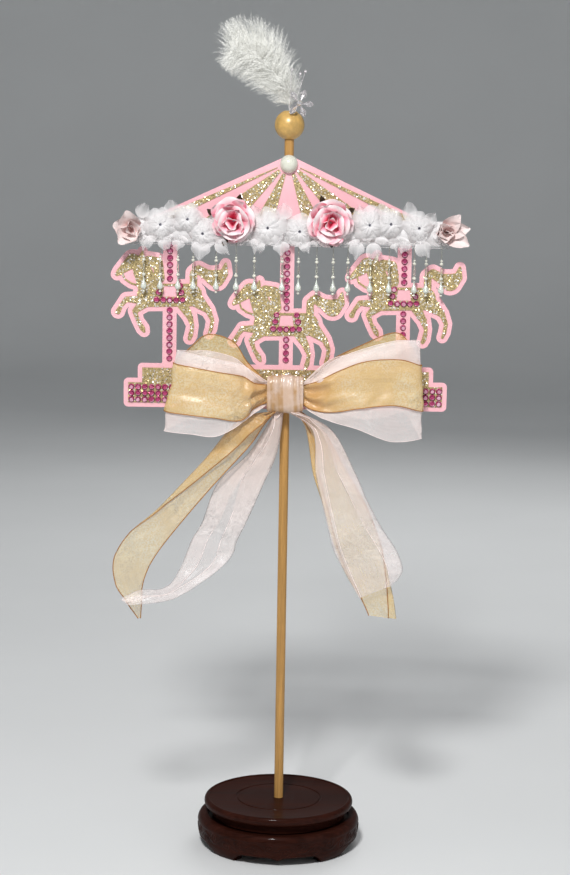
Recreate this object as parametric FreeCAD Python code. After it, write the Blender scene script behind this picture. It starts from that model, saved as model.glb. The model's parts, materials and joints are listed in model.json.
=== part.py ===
import FreeCAD, Part
import math
import os

# A carousel centrepiece for a table. A flat die-cut carousel, pink card with gold glitter
# overlays and pink stones, is glued to the front of a dowel. The dowel stands in the disc
# of a carved wooden stand, and the disc turns on the stand's base. A garland of fabric
# flowers hides the roof's eave, strings of beads hang under it, and a two-layer ribbon
# bow is tied at the foot of the carousel.
# Millimetres. +Z is up, the front faces -Y, and the origin is on the floor under the dowel.

V = FreeCAD.Vector
FORWARD = V(0, -1, 0)
UP = V(0, 0, 1)

# Fits
GLUE_GAP = 0.05
RUNNING_GAP = 0.05
SEAT_GAP = 0.3

# Stand base
BASE_RADIUS = 71.5
BASE_HEIGHT = 27.0
FOOT_RADIUS = 66.0
FOOT_COUNT = 4
FOOT_SPAN_DEG = 22.0
APRON_CLEARANCE = 9.0
APRON_WALL = 10.0
APRON_LIP = 1.0
PENDANT_DROP = 2.5
RIM_WIDTH = 5.0
WELL_RADIUS = 62.5
WELL_DEPTH = 3.0

# Pivot and glide ring
GLIDE_INNER_RADIUS = 38.0
GLIDE_WIDTH = 12.0
GLIDE_THICKNESS = 2.5
PIVOT_RADIUS = 5.0
PIVOT_FLANGE_RADIUS = 14.0
PIVOT_FLANGE_THICKNESS = 2.0
BUSH_WALL = 3.0
RETAINER_RADIUS = 9.0
RETAINER_THICKNESS = 1.2
RETAINER_POCKET = 2.0

# Turntable disc
NECK_RADIUS = 59.0
NECK_HEIGHT = 7.5
DISC_RADIUS = 65.7
DISC_THICKNESS = 7.5
DISC_LIP_RADIUS = 62.0
DISC_RECESS = 1.0
GROOVE_RADIUS = 37.0
GROOVE_WIDTH = 2.0
GROOVE_DEPTH = 0.6
SOCKET_DEPTH = 12.0

# Dowel, ball and topknot
DOWEL_RADIUS = 3.97
DOWEL_LENGTH = 609.6
BALL_RADIUS = 12.7
BALL_SEAT = 7.7
APEX_BELOW_BALL = 25.1
PEARL_RADIUS = 7.75
PEARL_BELOW_APEX = 7.6
QUILL_RADIUS = 0.8
STEM_RADIUS = 0.4
STEM_FOOT_RADIUS = 2.4
CRYSTAL_LENGTH = 9.0
CRYSTAL_RADIUS = 3.0
BUTTON_RADIUS = 2.5
BUTTON_HALF_DEPTH = 1.2
SPRAY_CRYSTAL_RADIUS = 1.7
SPRAY_CRYSTAL_LENGTH = 3.6

# The crystal flower's middle, x, y and height above the ball's mouth, the direction of each of
# its drops and its stem's bearing.
CRYSTAL_CENTRE = (8.2, -11, 6.1)
CRYSTAL_DROPS_DEG = (128, 67, -4, -68, -133)
CRYSTAL_STEM_DEG = -35

# Single crystals on stems: x, y and height above the ball's mouth, and the bearing of the stem's foot.
SPRAYS = ((8, 3, 29, 60), (12, 1, 31, 0), (1, -11, 32, -100))

# The plume along its spine: x, height above the ball's mouth and half-width.
PLUME_SPINE = ((-2, 18, 5), (-14, 40, 16), (-27, 54, 24), (-44, 58, 16), (-60, 55, 3))
PLUME_HALF_DEPTH = 7.0
PLUME_SIDES = 10

# Die-cut card
CARD_THICKNESS = 1.5
GLITTER_THICKNESS = 0.5
BORDER = 3.9
ROOF_HALF_WIDTH = 140.0
ROOF_RISE = 65.0
VALANCE_DEPTH = 9.0
STRIPE_VERTEX_DROP = 6.3
STRIPE_START = 10.5
STRIPE_MARGIN = 2.4
STRIPE_ANGLES = ((13.9, 29.4), (40.0, 55.6), (63.6, 66.8))
POLE_SPACING = 100.0
POLE_WIDTH = 12.0
PLATFORM_BELOW_APEX = 217.0
LOWER_TIER_HALF_WIDTH = 139.0
LOWER_TIER_HEIGHT = 25.0
UPPER_TIER_HALF_WIDTH = 127.0
UPPER_TIER_HEIGHT = 13.0
OUTER_HORSE_BELOW_APEX = 124.8
CENTRE_HORSE_BELOW_APEX = 148.3
GLUE_SEAM_WIDTH = 3.0
GLUE_SEAM_DEPTH = 2.6

# Stones
STONE_RADIUS = 2.4
STONE_TABLE_RADIUS = 1.3
STONE_HEIGHT = 1.9
STONE_SIDES = 6
POLE_STONE_PITCH = 5.9
PLATFORM_STONE_PITCH_X = 5.75
PLATFORM_STONE_PITCH_Z = 5.4
PLATFORM_STONE_ROWS = 3

# Garland and fringe
BAND_THICKNESS = 6.5
BAND_HEIGHT = 20.0
TAPE_THICKNESS = 1.0
TAPE_OVERLAP = 2.0
CORD_BELOW_VALANCE = 2.3
LOOP_LENGTH = 1.6
LOOP_RADIUS = 1.25
LOOP_GAP = 0.1
NOTCH_GAP = 0.3
GEM_RADIUS = 1.6

# Places along the eave are laid out for a roof of this half-width, and follow it when it changes.
LAID_OUT_HALF_WIDTH = 140.0

# Where each string of beads hangs along the fringe, unevenly, as it was sewn.
DROP_X = (-122, -108, -93, -80, -60.5, -43.5, -28, -4.5, 9.5, 25, 39, 51.5, 70.5, 86.5, 108, 118, 131)

# A string of beads from the loop down: what it is, its length and its radius.
BEAD_STRING = (
    ("thread", 8.6, 0.3),
    ("seed", 2.2, 1.1),
    ("pearl", 3.0, 1.6),
    ("thread", 1.4, 0.3),
    ("bugle", 8.0, 0.9),
    ("pearl", 3.2, 1.7),
    ("thread", 0.6, 0.3),
    ("teardrop", 11.0, 2.7),
    ("seed", 2.2, 1.2),
)

# The shape of each kind of bead: rings of radius and height, as shares of its size, and its sides.
BEAD_RINGS = {
    "thread": (((1, 0), (1, 1)), 4),
    "seed": (((0.45, 0), (1, 0.5), (0.45, 1)), 6),
    "pearl": (((0.5, 0), (1, 0.3), (1, 0.7), (0.5, 1)), 8),
    "bugle": (((1, 0), (1, 1)), 6),
    "teardrop": (((0.35, 0), (0.9, 0.14), (1, 0.3), (0.7, 0.58), (0.2, 1)), 8),
}

# Fabric flowers: x, height above the valance's lower edge, petal radius.
PETAL_THICKNESS = 0.8
HUB_DEPTH = 5.0
ROSE_RADIUS = 17.5
BLOSSOM_RADIUS = 16.0
ROSES = {"rose_left": (-46, 18), "rose_right": (36, 18)}
BLOSSOMS = {"blossom_left": (-134, 10), "blossom_right": (134, 12)}
ROSETTES = {
    "rosettes_left": ((-108, 14, 10.0), (-85, 19, 9.0), (-72, 7, 8.5)),
    "rosettes_center": ((-17, 12.5, 10.5), (10, 10, 8.5)),
    "rosettes_right": ((69, 16.5, 10.0), (87, 17.5, 7.5), (111, 14.5, 8.5)),
}

# Bow
RIBBON_THICKNESS = 0.6
KNOT_HALF_WIDTH = 15.5
KNOT_HALF_HEIGHT = 16.0
KNOT_HALF_DEPTH = 8.0
KNOT_CROWN = 2.5
KNOT_SIDE_CROWN = 5.0
KNOT_ABOVE_PLATFORM = 14.5
GOLD_HALF_WIDTH = 19.0
IVORY_HALF_WIDTH = 35.0
GATHERED_HALF_WIDTH = 13.0
LEFT_LOOP_REACH = 101.0
RIGHT_LOOP_REACH = 115.0
LOOP_BULGE = 11.0
LOOP_LEAN = 14.0
LOOP_BACK_RISE = 6.0
LOOP_STATIONS = 17
LAYER_GAP = 2.0
KNOT_LAYER = 3.2

# The ribbon's tails from the knot down: x, y and z of the left edge, then of the right edge. x and y are
# from the knot's middle, and z is from its lowest point. The first pair is raised to the knot's underside.
TAILS = {
    "gold_tail_left": (
        ((-13, -3, 0), (-8, -3, 0)), ((-40, -4, -7), (-18, -4, -11)),
        ((-70, -6, -43), (-31, -6, -30)),
        ((-106, -7, -82), (-67, -4, -71)), ((-131, -5, -105), (-98, -8, -109)),
        ((-145, -4, -128), (-113, -9, -131)),
        ((-144, -6, -150), (-120, -8, -150)), ((-136, -7, -164), (-121, -8, -164)),
        ((-124, -7, -181), (-122, -7, -181)),
    ),
    "ivory_tail_left": (
        ((-8, 3, 0), (-1, 3, 0)), ((-30, 4, -35), (-6, 1, -35)),
        ((-57, 5, -63), (-17, -1, -62)),
        ((-70, 3, -97), (-30, 0, -93)), ((-79, 2, -113), (-39, 1, -112)),
        ((-88, 1, -136), (-44, -2, -126)),
        ((-97, -2, -151), (-62, -8, -143)), ((-107, -6, -155), (-90, -14, -160)),
        ((-123, -11, -155), (-111, -17, -165)),
        ((-139, -14, -162), (-132, -18, -167)),
    ),
    "gold_tail_right": (
        ((7, 4, 0), (13, 4, 0)), ((18, 5, -15), (34, 4, -18)),
        ((25, 5, -53), (52, 3, -48)),
        ((34, 4, -80), (70, 4, -78)), ((42, 3, -108), (84, 5, -112)),
        ((54, 4, -139), (94, 4, -148)),
        ((68, 5, -162), (98, 3, -166)), ((76, 5, -178), (100, 2, -180)),
    ),
    "ivory_tail_right": (
        ((2, -3, 0), (12, -3, 0)), ((24, -4, -15), (41, -2, -15)),
        ((27, -4, -50), (62, -3, -52)),
        ((32, -5, -72), (72, -5, -74)), ((38, -5, -97), (85, -2, -98)),
        ((44, -4, -119), (99, -3, -119)),
        ((54, -3, -138), (104, -5, -136)), ((67, -3, -161), (95, -4, -149)),
    ),
}

# A carousel horse as chains of tapered limbs: x, z and radius from the point where the
# pole meets the bottom of the saddle.
HORSE = {
    "body": ((-18, 4.1, 10), (17.9, 4.8, 9.6)),
    "neck": ((-18.3, 11.8, 9.2), (-25, 28.8, 7.4)),
    "mane": ((-18.3, 33.3, 4.4), (-10.9, 31.8, 4.8), (-9.5, 25.1, 4.3), (-8.7, 19.2, 4.3)),
    "head": ((-31.6, 33.3, 5.9), (-43.1, 23.7, 2.6), (-45.2, 21.6, 1.5)),
    "ear": ((-25, 34.7, 3), (-23.5, 41.4, 0.6)),
    "rein": ((-38.7, 17.7, 0.75), (-33.1, 14, 0.75), (-26.6, 12.2, 0.75)),
    "bit": ((-40.5, 23, 0.75), (-38.7, 17.7, 0.75)),
    "raised_foreleg": ((-24, 0, 3.7), (-37.2, 0.4, 2.2), (-41.6, -5.2, 1.5), (-44.2, -10.4, 2.2)),
    "foreleg": ((-22, -2.5, 4.4), (-29.8, -9.6, 2.2), (-27.2, -17.7, 1.5), (-23.1, -24.4, 2.2),
                (-21.7, -27, 1.1)),
    "hind_leg": ((22.5, 1, 6.2), (33, -8.1, 2.6), (36.7, -16.3, 1.6), (35.6, -23.7, 1.6),
                 (33.8, -28.1, 1.1)),
    "near_hind_leg": ((11, -3.5, 4.4), (17.1, -13.3, 2.8), (19.7, -21.4, 1.5), (18.3, -29.6, 1.9),
                      (17.1, -32.5, 1.5)),
    "tail": ((20.1, 14.8, 3.3), (20.1, 23.7, 3), (24.5, 26.6, 3.7), (31.9, 22.2, 4.4),
             (39.3, 19.2, 7.2), (46, 23.7, 3.7), (47.4, 31.8, 1.1)),
}
SADDLE_HALF_WIDTH = 6.3
SADDLE_FLARE = 1.2
SADDLE_BOTTOM = 3.0
SADDLE_TOP = 12.2
SADDLE_STONES = ((-8.4, 12.4), (-9.6, 6.6), (-11.2, 0.4), (-5.5, 0.2), (0, 0.2), (5.5, 0.2), (11, 0.4),
                 (10, 6.6), (8.9, 12.4))

# Heights that follow from the sizes above
WELL_FLOOR = BASE_HEIGHT - WELL_DEPTH
NECK_BOTTOM = WELL_FLOOR + GLIDE_THICKNESS
DISC_BOTTOM = NECK_BOTTOM + NECK_HEIGHT
DISC_TOP = DISC_BOTTOM + DISC_THICKNESS
DISC_FACE = DISC_TOP - DISC_RECESS
SOCKET_FLOOR = DISC_FACE - SOCKET_DEPTH
DOWEL_TOP = SOCKET_FLOOR + DOWEL_LENGTH
BALL_CENTRE = DOWEL_TOP - BALL_SEAT
BALL_MOUTH = BALL_CENTRE + math.sqrt(BALL_RADIUS ** 2 - (DOWEL_RADIUS + GLUE_GAP) ** 2)
APEX = BALL_CENTRE - APEX_BELOW_BALL
EAVE = APEX - ROOF_RISE
VALANCE = EAVE - VALANCE_DEPTH
BAND_TOP = VALANCE + BAND_HEIGHT
BAND_HALF_WIDTH = ROOF_HALF_WIDTH - STRIPE_MARGIN
PLATFORM = APEX - PLATFORM_BELOW_APEX
TIER_STEP = PLATFORM + LOWER_TIER_HEIGHT
PLATFORM_TOP = TIER_STEP + UPPER_TIER_HEIGHT
OUTER_HORSE = APEX - OUTER_HORSE_BELOW_APEX
CENTRE_HORSE = APEX - CENTRE_HORSE_BELOW_APEX
HORSES = {
    "horse_left": (-POLE_SPACING, OUTER_HORSE),
    "horse_center": (0, CENTRE_HORSE),
    "horse_right": (POLE_SPACING, OUTER_HORSE),
}

# Depths that follow from the sizes above
CARD_BACK = -DOWEL_RADIUS
CARD_FRONT = CARD_BACK - CARD_THICKNESS
GLITTER_FRONT = CARD_FRONT - GLITTER_THICKNESS
BAND_FRONT = CARD_FRONT - BAND_THICKNESS
CORD_RADIUS = TAPE_THICKNESS / 2
CORD_Y = BAND_FRONT - CORD_RADIUS
CORD_Z = VALANCE - CORD_BELOW_VALANCE
KNOT_Y = GLITTER_FRONT - STONE_HEIGHT - SEAT_GAP - KNOT_HALF_DEPTH
KNOT_Z = PLATFORM + KNOT_ABOVE_PLATFORM


def outline(points):
    """A closed face in the XZ plane. A point of four numbers ends an arc through the last two."""
    edges = []
    here = V(points[0][0], 0, points[0][1])
    for point in points[1:] + points[:1]:
        end = V(point[0], 0, point[1])
        if len(point) == 4:
            edges.append(Part.Arc(here, V(point[2], 0, point[3]), end).toShape())
        elif (end - here).Length > 1e-6:
            edges.append(Part.makeLine(here, end))
        here = end
    wire = Part.Wire(edges)
    face = Part.Face(wire)
    if face.normalAt(0, 0).y > 0:
        wire.reverse()
        face = Part.Face(wire)
    return face


def turned(points):
    """A solid turned on the Z axis from an outline of radius and height."""
    return outline(points).revolve(V(0, 0, 0), UP, 360)


def cylinder(radius, bottom, top):
    return Part.makeCylinder(radius, top - bottom, V(0, 0, bottom))


def ring(inner, outer, bottom, top):
    return cylinder(outer, bottom, top).cut(cylinder(inner, bottom, top))


def slab(face, back, thickness):
    """A flat outline made into a sheet whose back lies at y = back and whose front faces forward."""
    sheet = face.copy()
    sheet.translate(V(0, back, 0))
    return sheet.extrude(FORWARD * thickness)


def united(shapes):
    return shapes[0].multiFuse(shapes[1:]).removeSplitter()


def closed(faces):
    """A solid from the flat faces that enclose it."""
    shell = Part.makeShell(faces)
    shell.sewShape()
    solid = Part.makeSolid(shell)
    if solid.Volume < 0:
        solid.reverse()
    return solid


def polygon_face(points):
    return Part.Face(Part.makePolygon(points + points[:1]))


def faceted(rings, sides):
    """A flat-sided solid on the Z axis through rings of radius and height."""
    def corners(radius, height):
        turns = [2 * math.pi * (i + 0.5) / sides for i in range(sides)]
        return [V(radius * math.cos(t), radius * math.sin(t), height) for t in turns]

    loops = [corners(radius, height) for radius, height in rings]
    faces = [polygon_face(loops[0]), polygon_face(loops[-1])]
    for low, high in zip(loops, loops[1:]):
        for i in range(sides):
            j = (i + 1) % sides
            faces.append(polygon_face([low[i], low[j], high[j], high[i]]))
    return closed(faces)


def pointed(shape, start, direction):
    """A copy of a shape made on the Z axis, with that axis laid along a direction from a start point."""
    copy = shape.copy()
    copy.Placement = FreeCAD.Placement(start, FreeCAD.Rotation(UP, direction)).multiply(copy.Placement)
    return copy


def capsule(first, second, grow):
    """The outline of a limb that tapers from one round end to another, in the XZ plane."""
    (x0, z0, r0), (x1, z1, r1) = first, second
    r0 += grow
    r1 += grow
    axis = math.atan2(z1 - z0, x1 - x0)
    spread = math.acos((r0 - r1) / math.hypot(x1 - x0, z1 - z0))

    def at(x, z, r, angle):
        return (x + r * math.cos(angle), z + r * math.sin(angle))

    return outline([
        at(x0, z0, r0, axis + spread) + at(x0, z0, r0, axis + math.pi),
        at(x1, z1, r1, axis + spread),
        at(x1, z1, r1, axis - spread) + at(x1, z1, r1, axis),
        at(x0, z0, r0, axis - spread),
    ])


def horse_outline(grow):
    limbs = [capsule(a, b, grow) for chain in HORSE.values() for a, b in zip(chain, chain[1:])]
    return united(limbs)


def rounded_rectangle(x0, z0, x1, z1, r):
    k = r * (1 - math.sqrt(0.5))
    return outline([
        (x0, z0 + r, x0 + k, z0 + k),
        (x0, z1 - r),
        (x0 + r, z1, x0 + k, z1 - k),
        (x1 - r, z1),
        (x1, z1 - r, x1 - k, z1 - k),
        (x1, z0 + r),
        (x1 - r, z0, x1 - k, z0 + k),
        (x0 + r, z0),
    ])


def moved(shape, x, y, z):
    copy = shape.copy()
    copy.translate(V(x, y, z))
    return copy


def stand_base():
    """The lower ring of the stand: a bulged apron on four feet, with a well for the turntable."""
    rim_radius = WELL_RADIUS + RIM_WIDTH
    inner = FOOT_RADIUS - APRON_WALL
    belly = 0.7 * BASE_HEIGHT
    body = turned([
        (0, APRON_CLEARANCE),
        (inner, APRON_CLEARANCE),
        (inner, 0),
        (FOOT_RADIUS, 0),
        (BASE_RADIUS, belly, 0.25 * FOOT_RADIUS + 0.75 * BASE_RADIUS, 0.45 * belly),
        (rim_radius, BASE_HEIGHT, 0.3 * rim_radius + 0.7 * BASE_RADIUS, 0.25 * belly + 0.75 * BASE_HEIGHT),
        (WELL_RADIUS, BASE_HEIGHT),
        (WELL_RADIUS, WELL_FLOOR),
        (0, WELL_FLOOR),
    ])
    crown = APRON_CLEARANCE - APRON_LIP
    half = FOOT_RADIUS * math.sin(math.radians(180 / FOOT_COUNT - FOOT_SPAN_DEG / 2))
    shoulder = 0.25 * half
    arch = outline([
        (-half, -1),
        (-half, 0.35 * crown),
        (-half + shoulder, crown, -half + 0.25 * shoulder, 0.8 * crown),
        (-shoulder, crown),
        (0, crown - PENDANT_DROP, -0.4 * shoulder, crown - 0.35 * PENDANT_DROP),
        (shoulder, crown, 0.4 * shoulder, crown - 0.35 * PENDANT_DROP),
        (half - shoulder, crown),
        (half, 0.35 * crown, half - 0.25 * shoulder, 0.8 * crown),
        (half, -1),
    ])
    arch = arch.extrude(FORWARD * (BASE_RADIUS + APRON_WALL))
    for i in range(FOOT_COUNT):
        cutter = arch.copy()
        cutter.rotate(V(0, 0, 0), UP, 360 * i / FOOT_COUNT)
        body = body.cut(cutter)
    pocket = cylinder(RETAINER_RADIUS + 1, APRON_CLEARANCE, APRON_CLEARANCE + RETAINER_POCKET)
    bore = cylinder(PIVOT_RADIUS + RUNNING_GAP + BUSH_WALL + GLUE_GAP, APRON_CLEARANCE, WELL_FLOOR)
    return body.cut(pocket).cut(bore)


def base_bush():
    inner = PIVOT_RADIUS + RUNNING_GAP
    return ring(inner, inner + BUSH_WALL, APRON_CLEARANCE + RETAINER_POCKET, WELL_FLOOR)


def glide_ring():
    return ring(GLIDE_INNER_RADIUS, GLIDE_INNER_RADIUS + GLIDE_WIDTH, WELL_FLOOR, NECK_BOTTOM)


def pivot_spigot():
    flange_bottom = NECK_BOTTOM - PIVOT_FLANGE_THICKNESS
    flange = cylinder(PIVOT_FLANGE_RADIUS, flange_bottom, NECK_BOTTOM)
    return united([flange, cylinder(PIVOT_RADIUS, APRON_CLEARANCE + SEAT_GAP, NECK_BOTTOM)])


def retaining_washer():
    bottom = APRON_CLEARANCE + RETAINER_POCKET - SEAT_GAP - RETAINER_THICKNESS
    return ring(PIVOT_RADIUS + GLUE_GAP, RETAINER_RADIUS, bottom, bottom + RETAINER_THICKNESS)


def turntable_disc():
    """The round top: a cove-footed neck, a bullnose edge, a raised lip and one turned groove."""
    edge = 0.35 * DISC_THICKNESS
    cove = 0.4 * NECK_HEIGHT
    cove_top = NECK_RADIUS + cove
    groove = GROOVE_WIDTH / 2
    body = turned([
        (0, NECK_BOTTOM),
        (NECK_RADIUS, NECK_BOTTOM),
        (NECK_RADIUS, DISC_BOTTOM - cove),
        (cove_top, DISC_BOTTOM, NECK_RADIUS + 0.3 * cove, DISC_BOTTOM - 0.3 * cove),
        (DISC_RADIUS - edge, DISC_BOTTOM),
        (DISC_RADIUS - edge, DISC_TOP, DISC_RADIUS, (DISC_BOTTOM + DISC_TOP) / 2),
        (DISC_LIP_RADIUS, DISC_TOP),
        (DISC_LIP_RADIUS - DISC_RECESS, DISC_FACE),
        (GROOVE_RADIUS + groove, DISC_FACE),
        (GROOVE_RADIUS - groove, DISC_FACE, GROOVE_RADIUS, DISC_FACE - GROOVE_DEPTH),
        (0, DISC_FACE),
    ])
    return body.cut(cylinder(DOWEL_RADIUS + GLUE_GAP, SOCKET_FLOOR, DISC_TOP))


def dowel():
    return cylinder(DOWEL_RADIUS, SOCKET_FLOOR, DOWEL_TOP)


def ball_finial():
    """A turned wooden bead, bored through, that caps the dowel and holds the topknot."""
    ball = Part.makeSphere(BALL_RADIUS, V(0, 0, BALL_CENTRE))
    bore = cylinder(DOWEL_RADIUS + GLUE_GAP, BALL_CENTRE - BALL_RADIUS, BALL_CENTRE + BALL_RADIUS)
    return ball.cut(bore)


def finial_glue():
    return cylinder(DOWEL_RADIUS, DOWEL_TOP, BALL_MOUTH)


def plume_sections():
    """The plume's rings of points, square to its spine and flattened from front to back."""
    turns = [2 * math.pi * k / PLUME_SIDES for k in range(PLUME_SIDES)]
    points = [V(x, 0, BALL_MOUTH + height) for x, height, _ in PLUME_SPINE]
    sections = []
    for i, (_, _, half_width) in enumerate(PLUME_SPINE):
        along = points[min(i + 1, len(points) - 1)] - points[max(i - 1, 0)]
        along.normalize()
        across = V(along.z, 0, -along.x) * half_width
        depth = V(0, min(half_width, PLUME_HALF_DEPTH), 0)
        sections.append([points[i] + across * math.cos(t) + depth * math.sin(t) for t in turns])
    return sections


def feather_plume():
    wires = [Part.makePolygon(ring_points + ring_points[:1]) for ring_points in plume_sections()]
    return Part.makeLoft(wires, True, True)


def feather_quill():
    """A straight quill from the glue in the ball's mouth to the root of the plume."""
    x, height, _ = PLUME_SPINE[0]
    start = V(0, 0, BALL_MOUTH + SEAT_GAP)
    root = V(x, 0, BALL_MOUTH + height)
    length = (root - start).Length - SEAT_GAP
    return Part.makeCylinder(QUILL_RADIUS, length, start, root - start)


def crystal_flower():
    """Five clear teardrops round a button, facing forward."""
    x, y, height = CRYSTAL_CENTRE
    centre = V(x, y, BALL_MOUTH + height)
    button = faceted([(BUTTON_RADIUS, -BUTTON_HALF_DEPTH), (0.5 * BUTTON_RADIUS, BUTTON_HALF_DEPTH)], 8)
    button = pointed(button, centre, FORWARD)
    shoulder = 0.62 * CRYSTAL_LENGTH
    rings = [(0.2 * CRYSTAL_RADIUS, 0), (CRYSTAL_RADIUS, shoulder), (0.4 * CRYSTAL_RADIUS, CRYSTAL_LENGTH)]
    drop = faceted(rings, 6)
    pieces = [button]
    for bearing in CRYSTAL_DROPS_DEG:
        turn = math.radians(bearing)
        way = V(math.cos(turn), 0, math.sin(turn))
        pieces.append(pointed(drop, centre + way * (BUTTON_RADIUS + SEAT_GAP / 2), way))
    return Part.makeCompound(pieces)


def stem_foot(bearing):
    """Where a wire stem leaves the ball's mouth, on a circle round the quill."""
    turn = math.radians(bearing)
    return V(STEM_FOOT_RADIUS * math.cos(turn), STEM_FOOT_RADIUS * math.sin(turn), BALL_MOUTH + STEM_RADIUS)


def crystal_sprays():
    """Wire stems from the ball's mouth: one to the flower's back, the rest to single crystals."""
    x, y, height = CRYSTAL_CENTRE
    foot = stem_foot(CRYSTAL_STEM_DEG)
    way = V(x, y + BUTTON_HALF_DEPTH + SEAT_GAP, BALL_MOUTH + height) - foot
    pieces = [Part.makeCylinder(STEM_RADIUS, way.Length, foot, way)]
    shoulder = 0.45 * SPRAY_CRYSTAL_LENGTH
    rings = [(STEM_RADIUS, 0), (SPRAY_CRYSTAL_RADIUS, shoulder), (STEM_RADIUS, SPRAY_CRYSTAL_LENGTH)]
    crystal = faceted(rings, 6)
    for x, y, height, bearing in SPRAYS:
        foot = stem_foot(bearing)
        tip = V(x, y, BALL_MOUTH + height)
        way = tip - foot
        pieces.append(Part.makeCylinder(STEM_RADIUS, way.Length, foot, way))
        pieces.append(pointed(crystal, tip, way))
    return Part.makeCompound(pieces)


def apex_pearl():
    """A flat-backed half pearl at the point where the roof's stripes meet."""
    return Part.makeSphere(PEARL_RADIUS, V(0, CARD_FRONT, APEX - PEARL_BELOW_APEX), FORWARD, 0, 90, 360)


def roof_outline(margin, bottom):
    """The roof and its valance down to a given height, drawn in from the edges by a margin."""
    slope = math.atan2(ROOF_RISE, ROOF_HALF_WIDTH)
    drop = margin / math.cos(slope)
    half = ROOF_HALF_WIDTH - margin
    corner = APEX - drop - half * math.tan(slope)
    return outline([
        (0, APEX - drop),
        (half, corner),
        (half, bottom),
        (-half, bottom),
        (-half, corner),
    ])


def backing_card(horse):
    """Roof, poles, platform and three bordered horses, die-cut as one sheet of card."""
    half_pole = POLE_WIDTH / 2
    pieces = [
        roof_outline(0, VALANCE),
        rounded_rectangle(-LOWER_TIER_HALF_WIDTH, PLATFORM, LOWER_TIER_HALF_WIDTH, TIER_STEP, BORDER),
        rounded_rectangle(-UPPER_TIER_HALF_WIDTH, PLATFORM, UPPER_TIER_HALF_WIDTH, PLATFORM_TOP, BORDER),
    ]
    for x, z in HORSES.values():
        pieces.append(outline([
            (x - half_pole, TIER_STEP),
            (x - half_pole, EAVE),
            (x + half_pole, EAVE),
            (x + half_pole, TIER_STEP),
        ]))
        pieces.append(moved(horse, x, 0, z))
    return united([slab(piece, CARD_BACK, CARD_THICKNESS) for piece in pieces])


def band_outline():
    """The strip along the eave that carries the garland, kept inside the roof's edge."""
    strip = outline([
        (-ROOF_HALF_WIDTH, VALANCE),
        (-ROOF_HALF_WIDTH, BAND_TOP),
        (ROOF_HALF_WIDTH, BAND_TOP),
        (ROOF_HALF_WIDTH, VALANCE),
    ])
    return strip.common(roof_outline(STRIPE_MARGIN, VALANCE))


def roof_stripes():
    """Glitter stripes that fan from under the pearl to the garland, kept inside the roof's border."""
    edge_at_band = (APEX - BAND_TOP) * ROOF_HALF_WIDTH / ROOF_RISE
    field = roof_outline(STRIPE_MARGIN, VALANCE).cut(outline([
        (-2 * edge_at_band, VALANCE),
        (-2 * edge_at_band, BAND_TOP),
        (2 * edge_at_band, BAND_TOP),
        (2 * edge_at_band, VALANCE),
    ]))
    vertex = APEX - STRIPE_VERTEX_DROP
    reach = 2 * ROOF_HALF_WIDTH
    stripes = []
    for angles in STRIPE_ANGLES:
        for side in (-1, 1):
            near, far = [(side * math.sin(math.radians(a)), -math.cos(math.radians(a))) for a in angles]
            wedge = outline([
                (near[0] * STRIPE_START, vertex + near[1] * STRIPE_START),
                (near[0] * reach, vertex + near[1] * reach),
                (far[0] * reach, vertex + far[1] * reach),
                (far[0] * STRIPE_START, vertex + far[1] * STRIPE_START),
            ])
            stripes.append(slab(wedge.common(field), CARD_FRONT, GLITTER_THICKNESS))
    return Part.makeCompound(stripes)


def saddle_window():
    half = SADDLE_HALF_WIDTH
    return outline([
        (-half + SADDLE_FLARE, SADDLE_TOP),
        (half - SADDLE_FLARE, SADDLE_TOP),
        (half, SADDLE_BOTTOM),
        (-half, SADDLE_BOTTOM),
    ])


def platform_glitter():
    low = outline([
        (-LOWER_TIER_HALF_WIDTH + BORDER, PLATFORM + BORDER),
        (-LOWER_TIER_HALF_WIDTH + BORDER, TIER_STEP - BORDER),
        (-UPPER_TIER_HALF_WIDTH + BORDER, TIER_STEP - BORDER),
        (-UPPER_TIER_HALF_WIDTH + BORDER, PLATFORM_TOP - BORDER),
        (UPPER_TIER_HALF_WIDTH - BORDER, PLATFORM_TOP - BORDER),
        (UPPER_TIER_HALF_WIDTH - BORDER, TIER_STEP - BORDER),
        (LOWER_TIER_HALF_WIDTH - BORDER, TIER_STEP - BORDER),
        (LOWER_TIER_HALF_WIDTH - BORDER, PLATFORM + BORDER),
    ])
    return slab(low, CARD_FRONT, GLITTER_THICKNESS)


def glitter_horse(shape, x, z):
    return slab(moved(shape, x, 0, z), CARD_FRONT, GLITTER_THICKNESS)


def stones(places, back):
    """Flat-backed stones with their tables forward, on the surface at y = back."""
    stone = faceted([(STONE_RADIUS, 0), (STONE_TABLE_RADIUS, STONE_HEIGHT)], STONE_SIDES)
    return Part.makeCompound([pointed(stone, V(x, back, z), FORWARD) for x, z in places])


def run(first, last, pitch):
    """Evenly pitched places from first towards last, which may lie either way."""
    count = int(abs(last - first) / pitch) + 1
    step = math.copysign(pitch, last - first)
    return [first + i * step for i in range(count)]


def pole_stones():
    """One row of stones up each pole, with a break where the horse crosses it."""
    body_radius = HORSE["body"][0][2]
    belly = HORSE["body"][0][1] - body_radius - STONE_RADIUS - SEAT_GAP
    withers = SADDLE_TOP + STONE_RADIUS + BORDER
    places = []
    for x, z in HORSES.values():
        below = run(z + belly, PLATFORM_TOP - BORDER + STONE_RADIUS + SEAT_GAP, POLE_STONE_PITCH)
        above = run(z + withers, CORD_Z, POLE_STONE_PITCH)
        places += [(x, height) for height in below + above]
    return stones(places, CARD_FRONT)


def saddle_stones():
    places = [(x + dx, z + dz) for x, z in HORSES.values() for dx, dz in SADDLE_STONES]
    return stones(places, GLITTER_FRONT)


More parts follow.
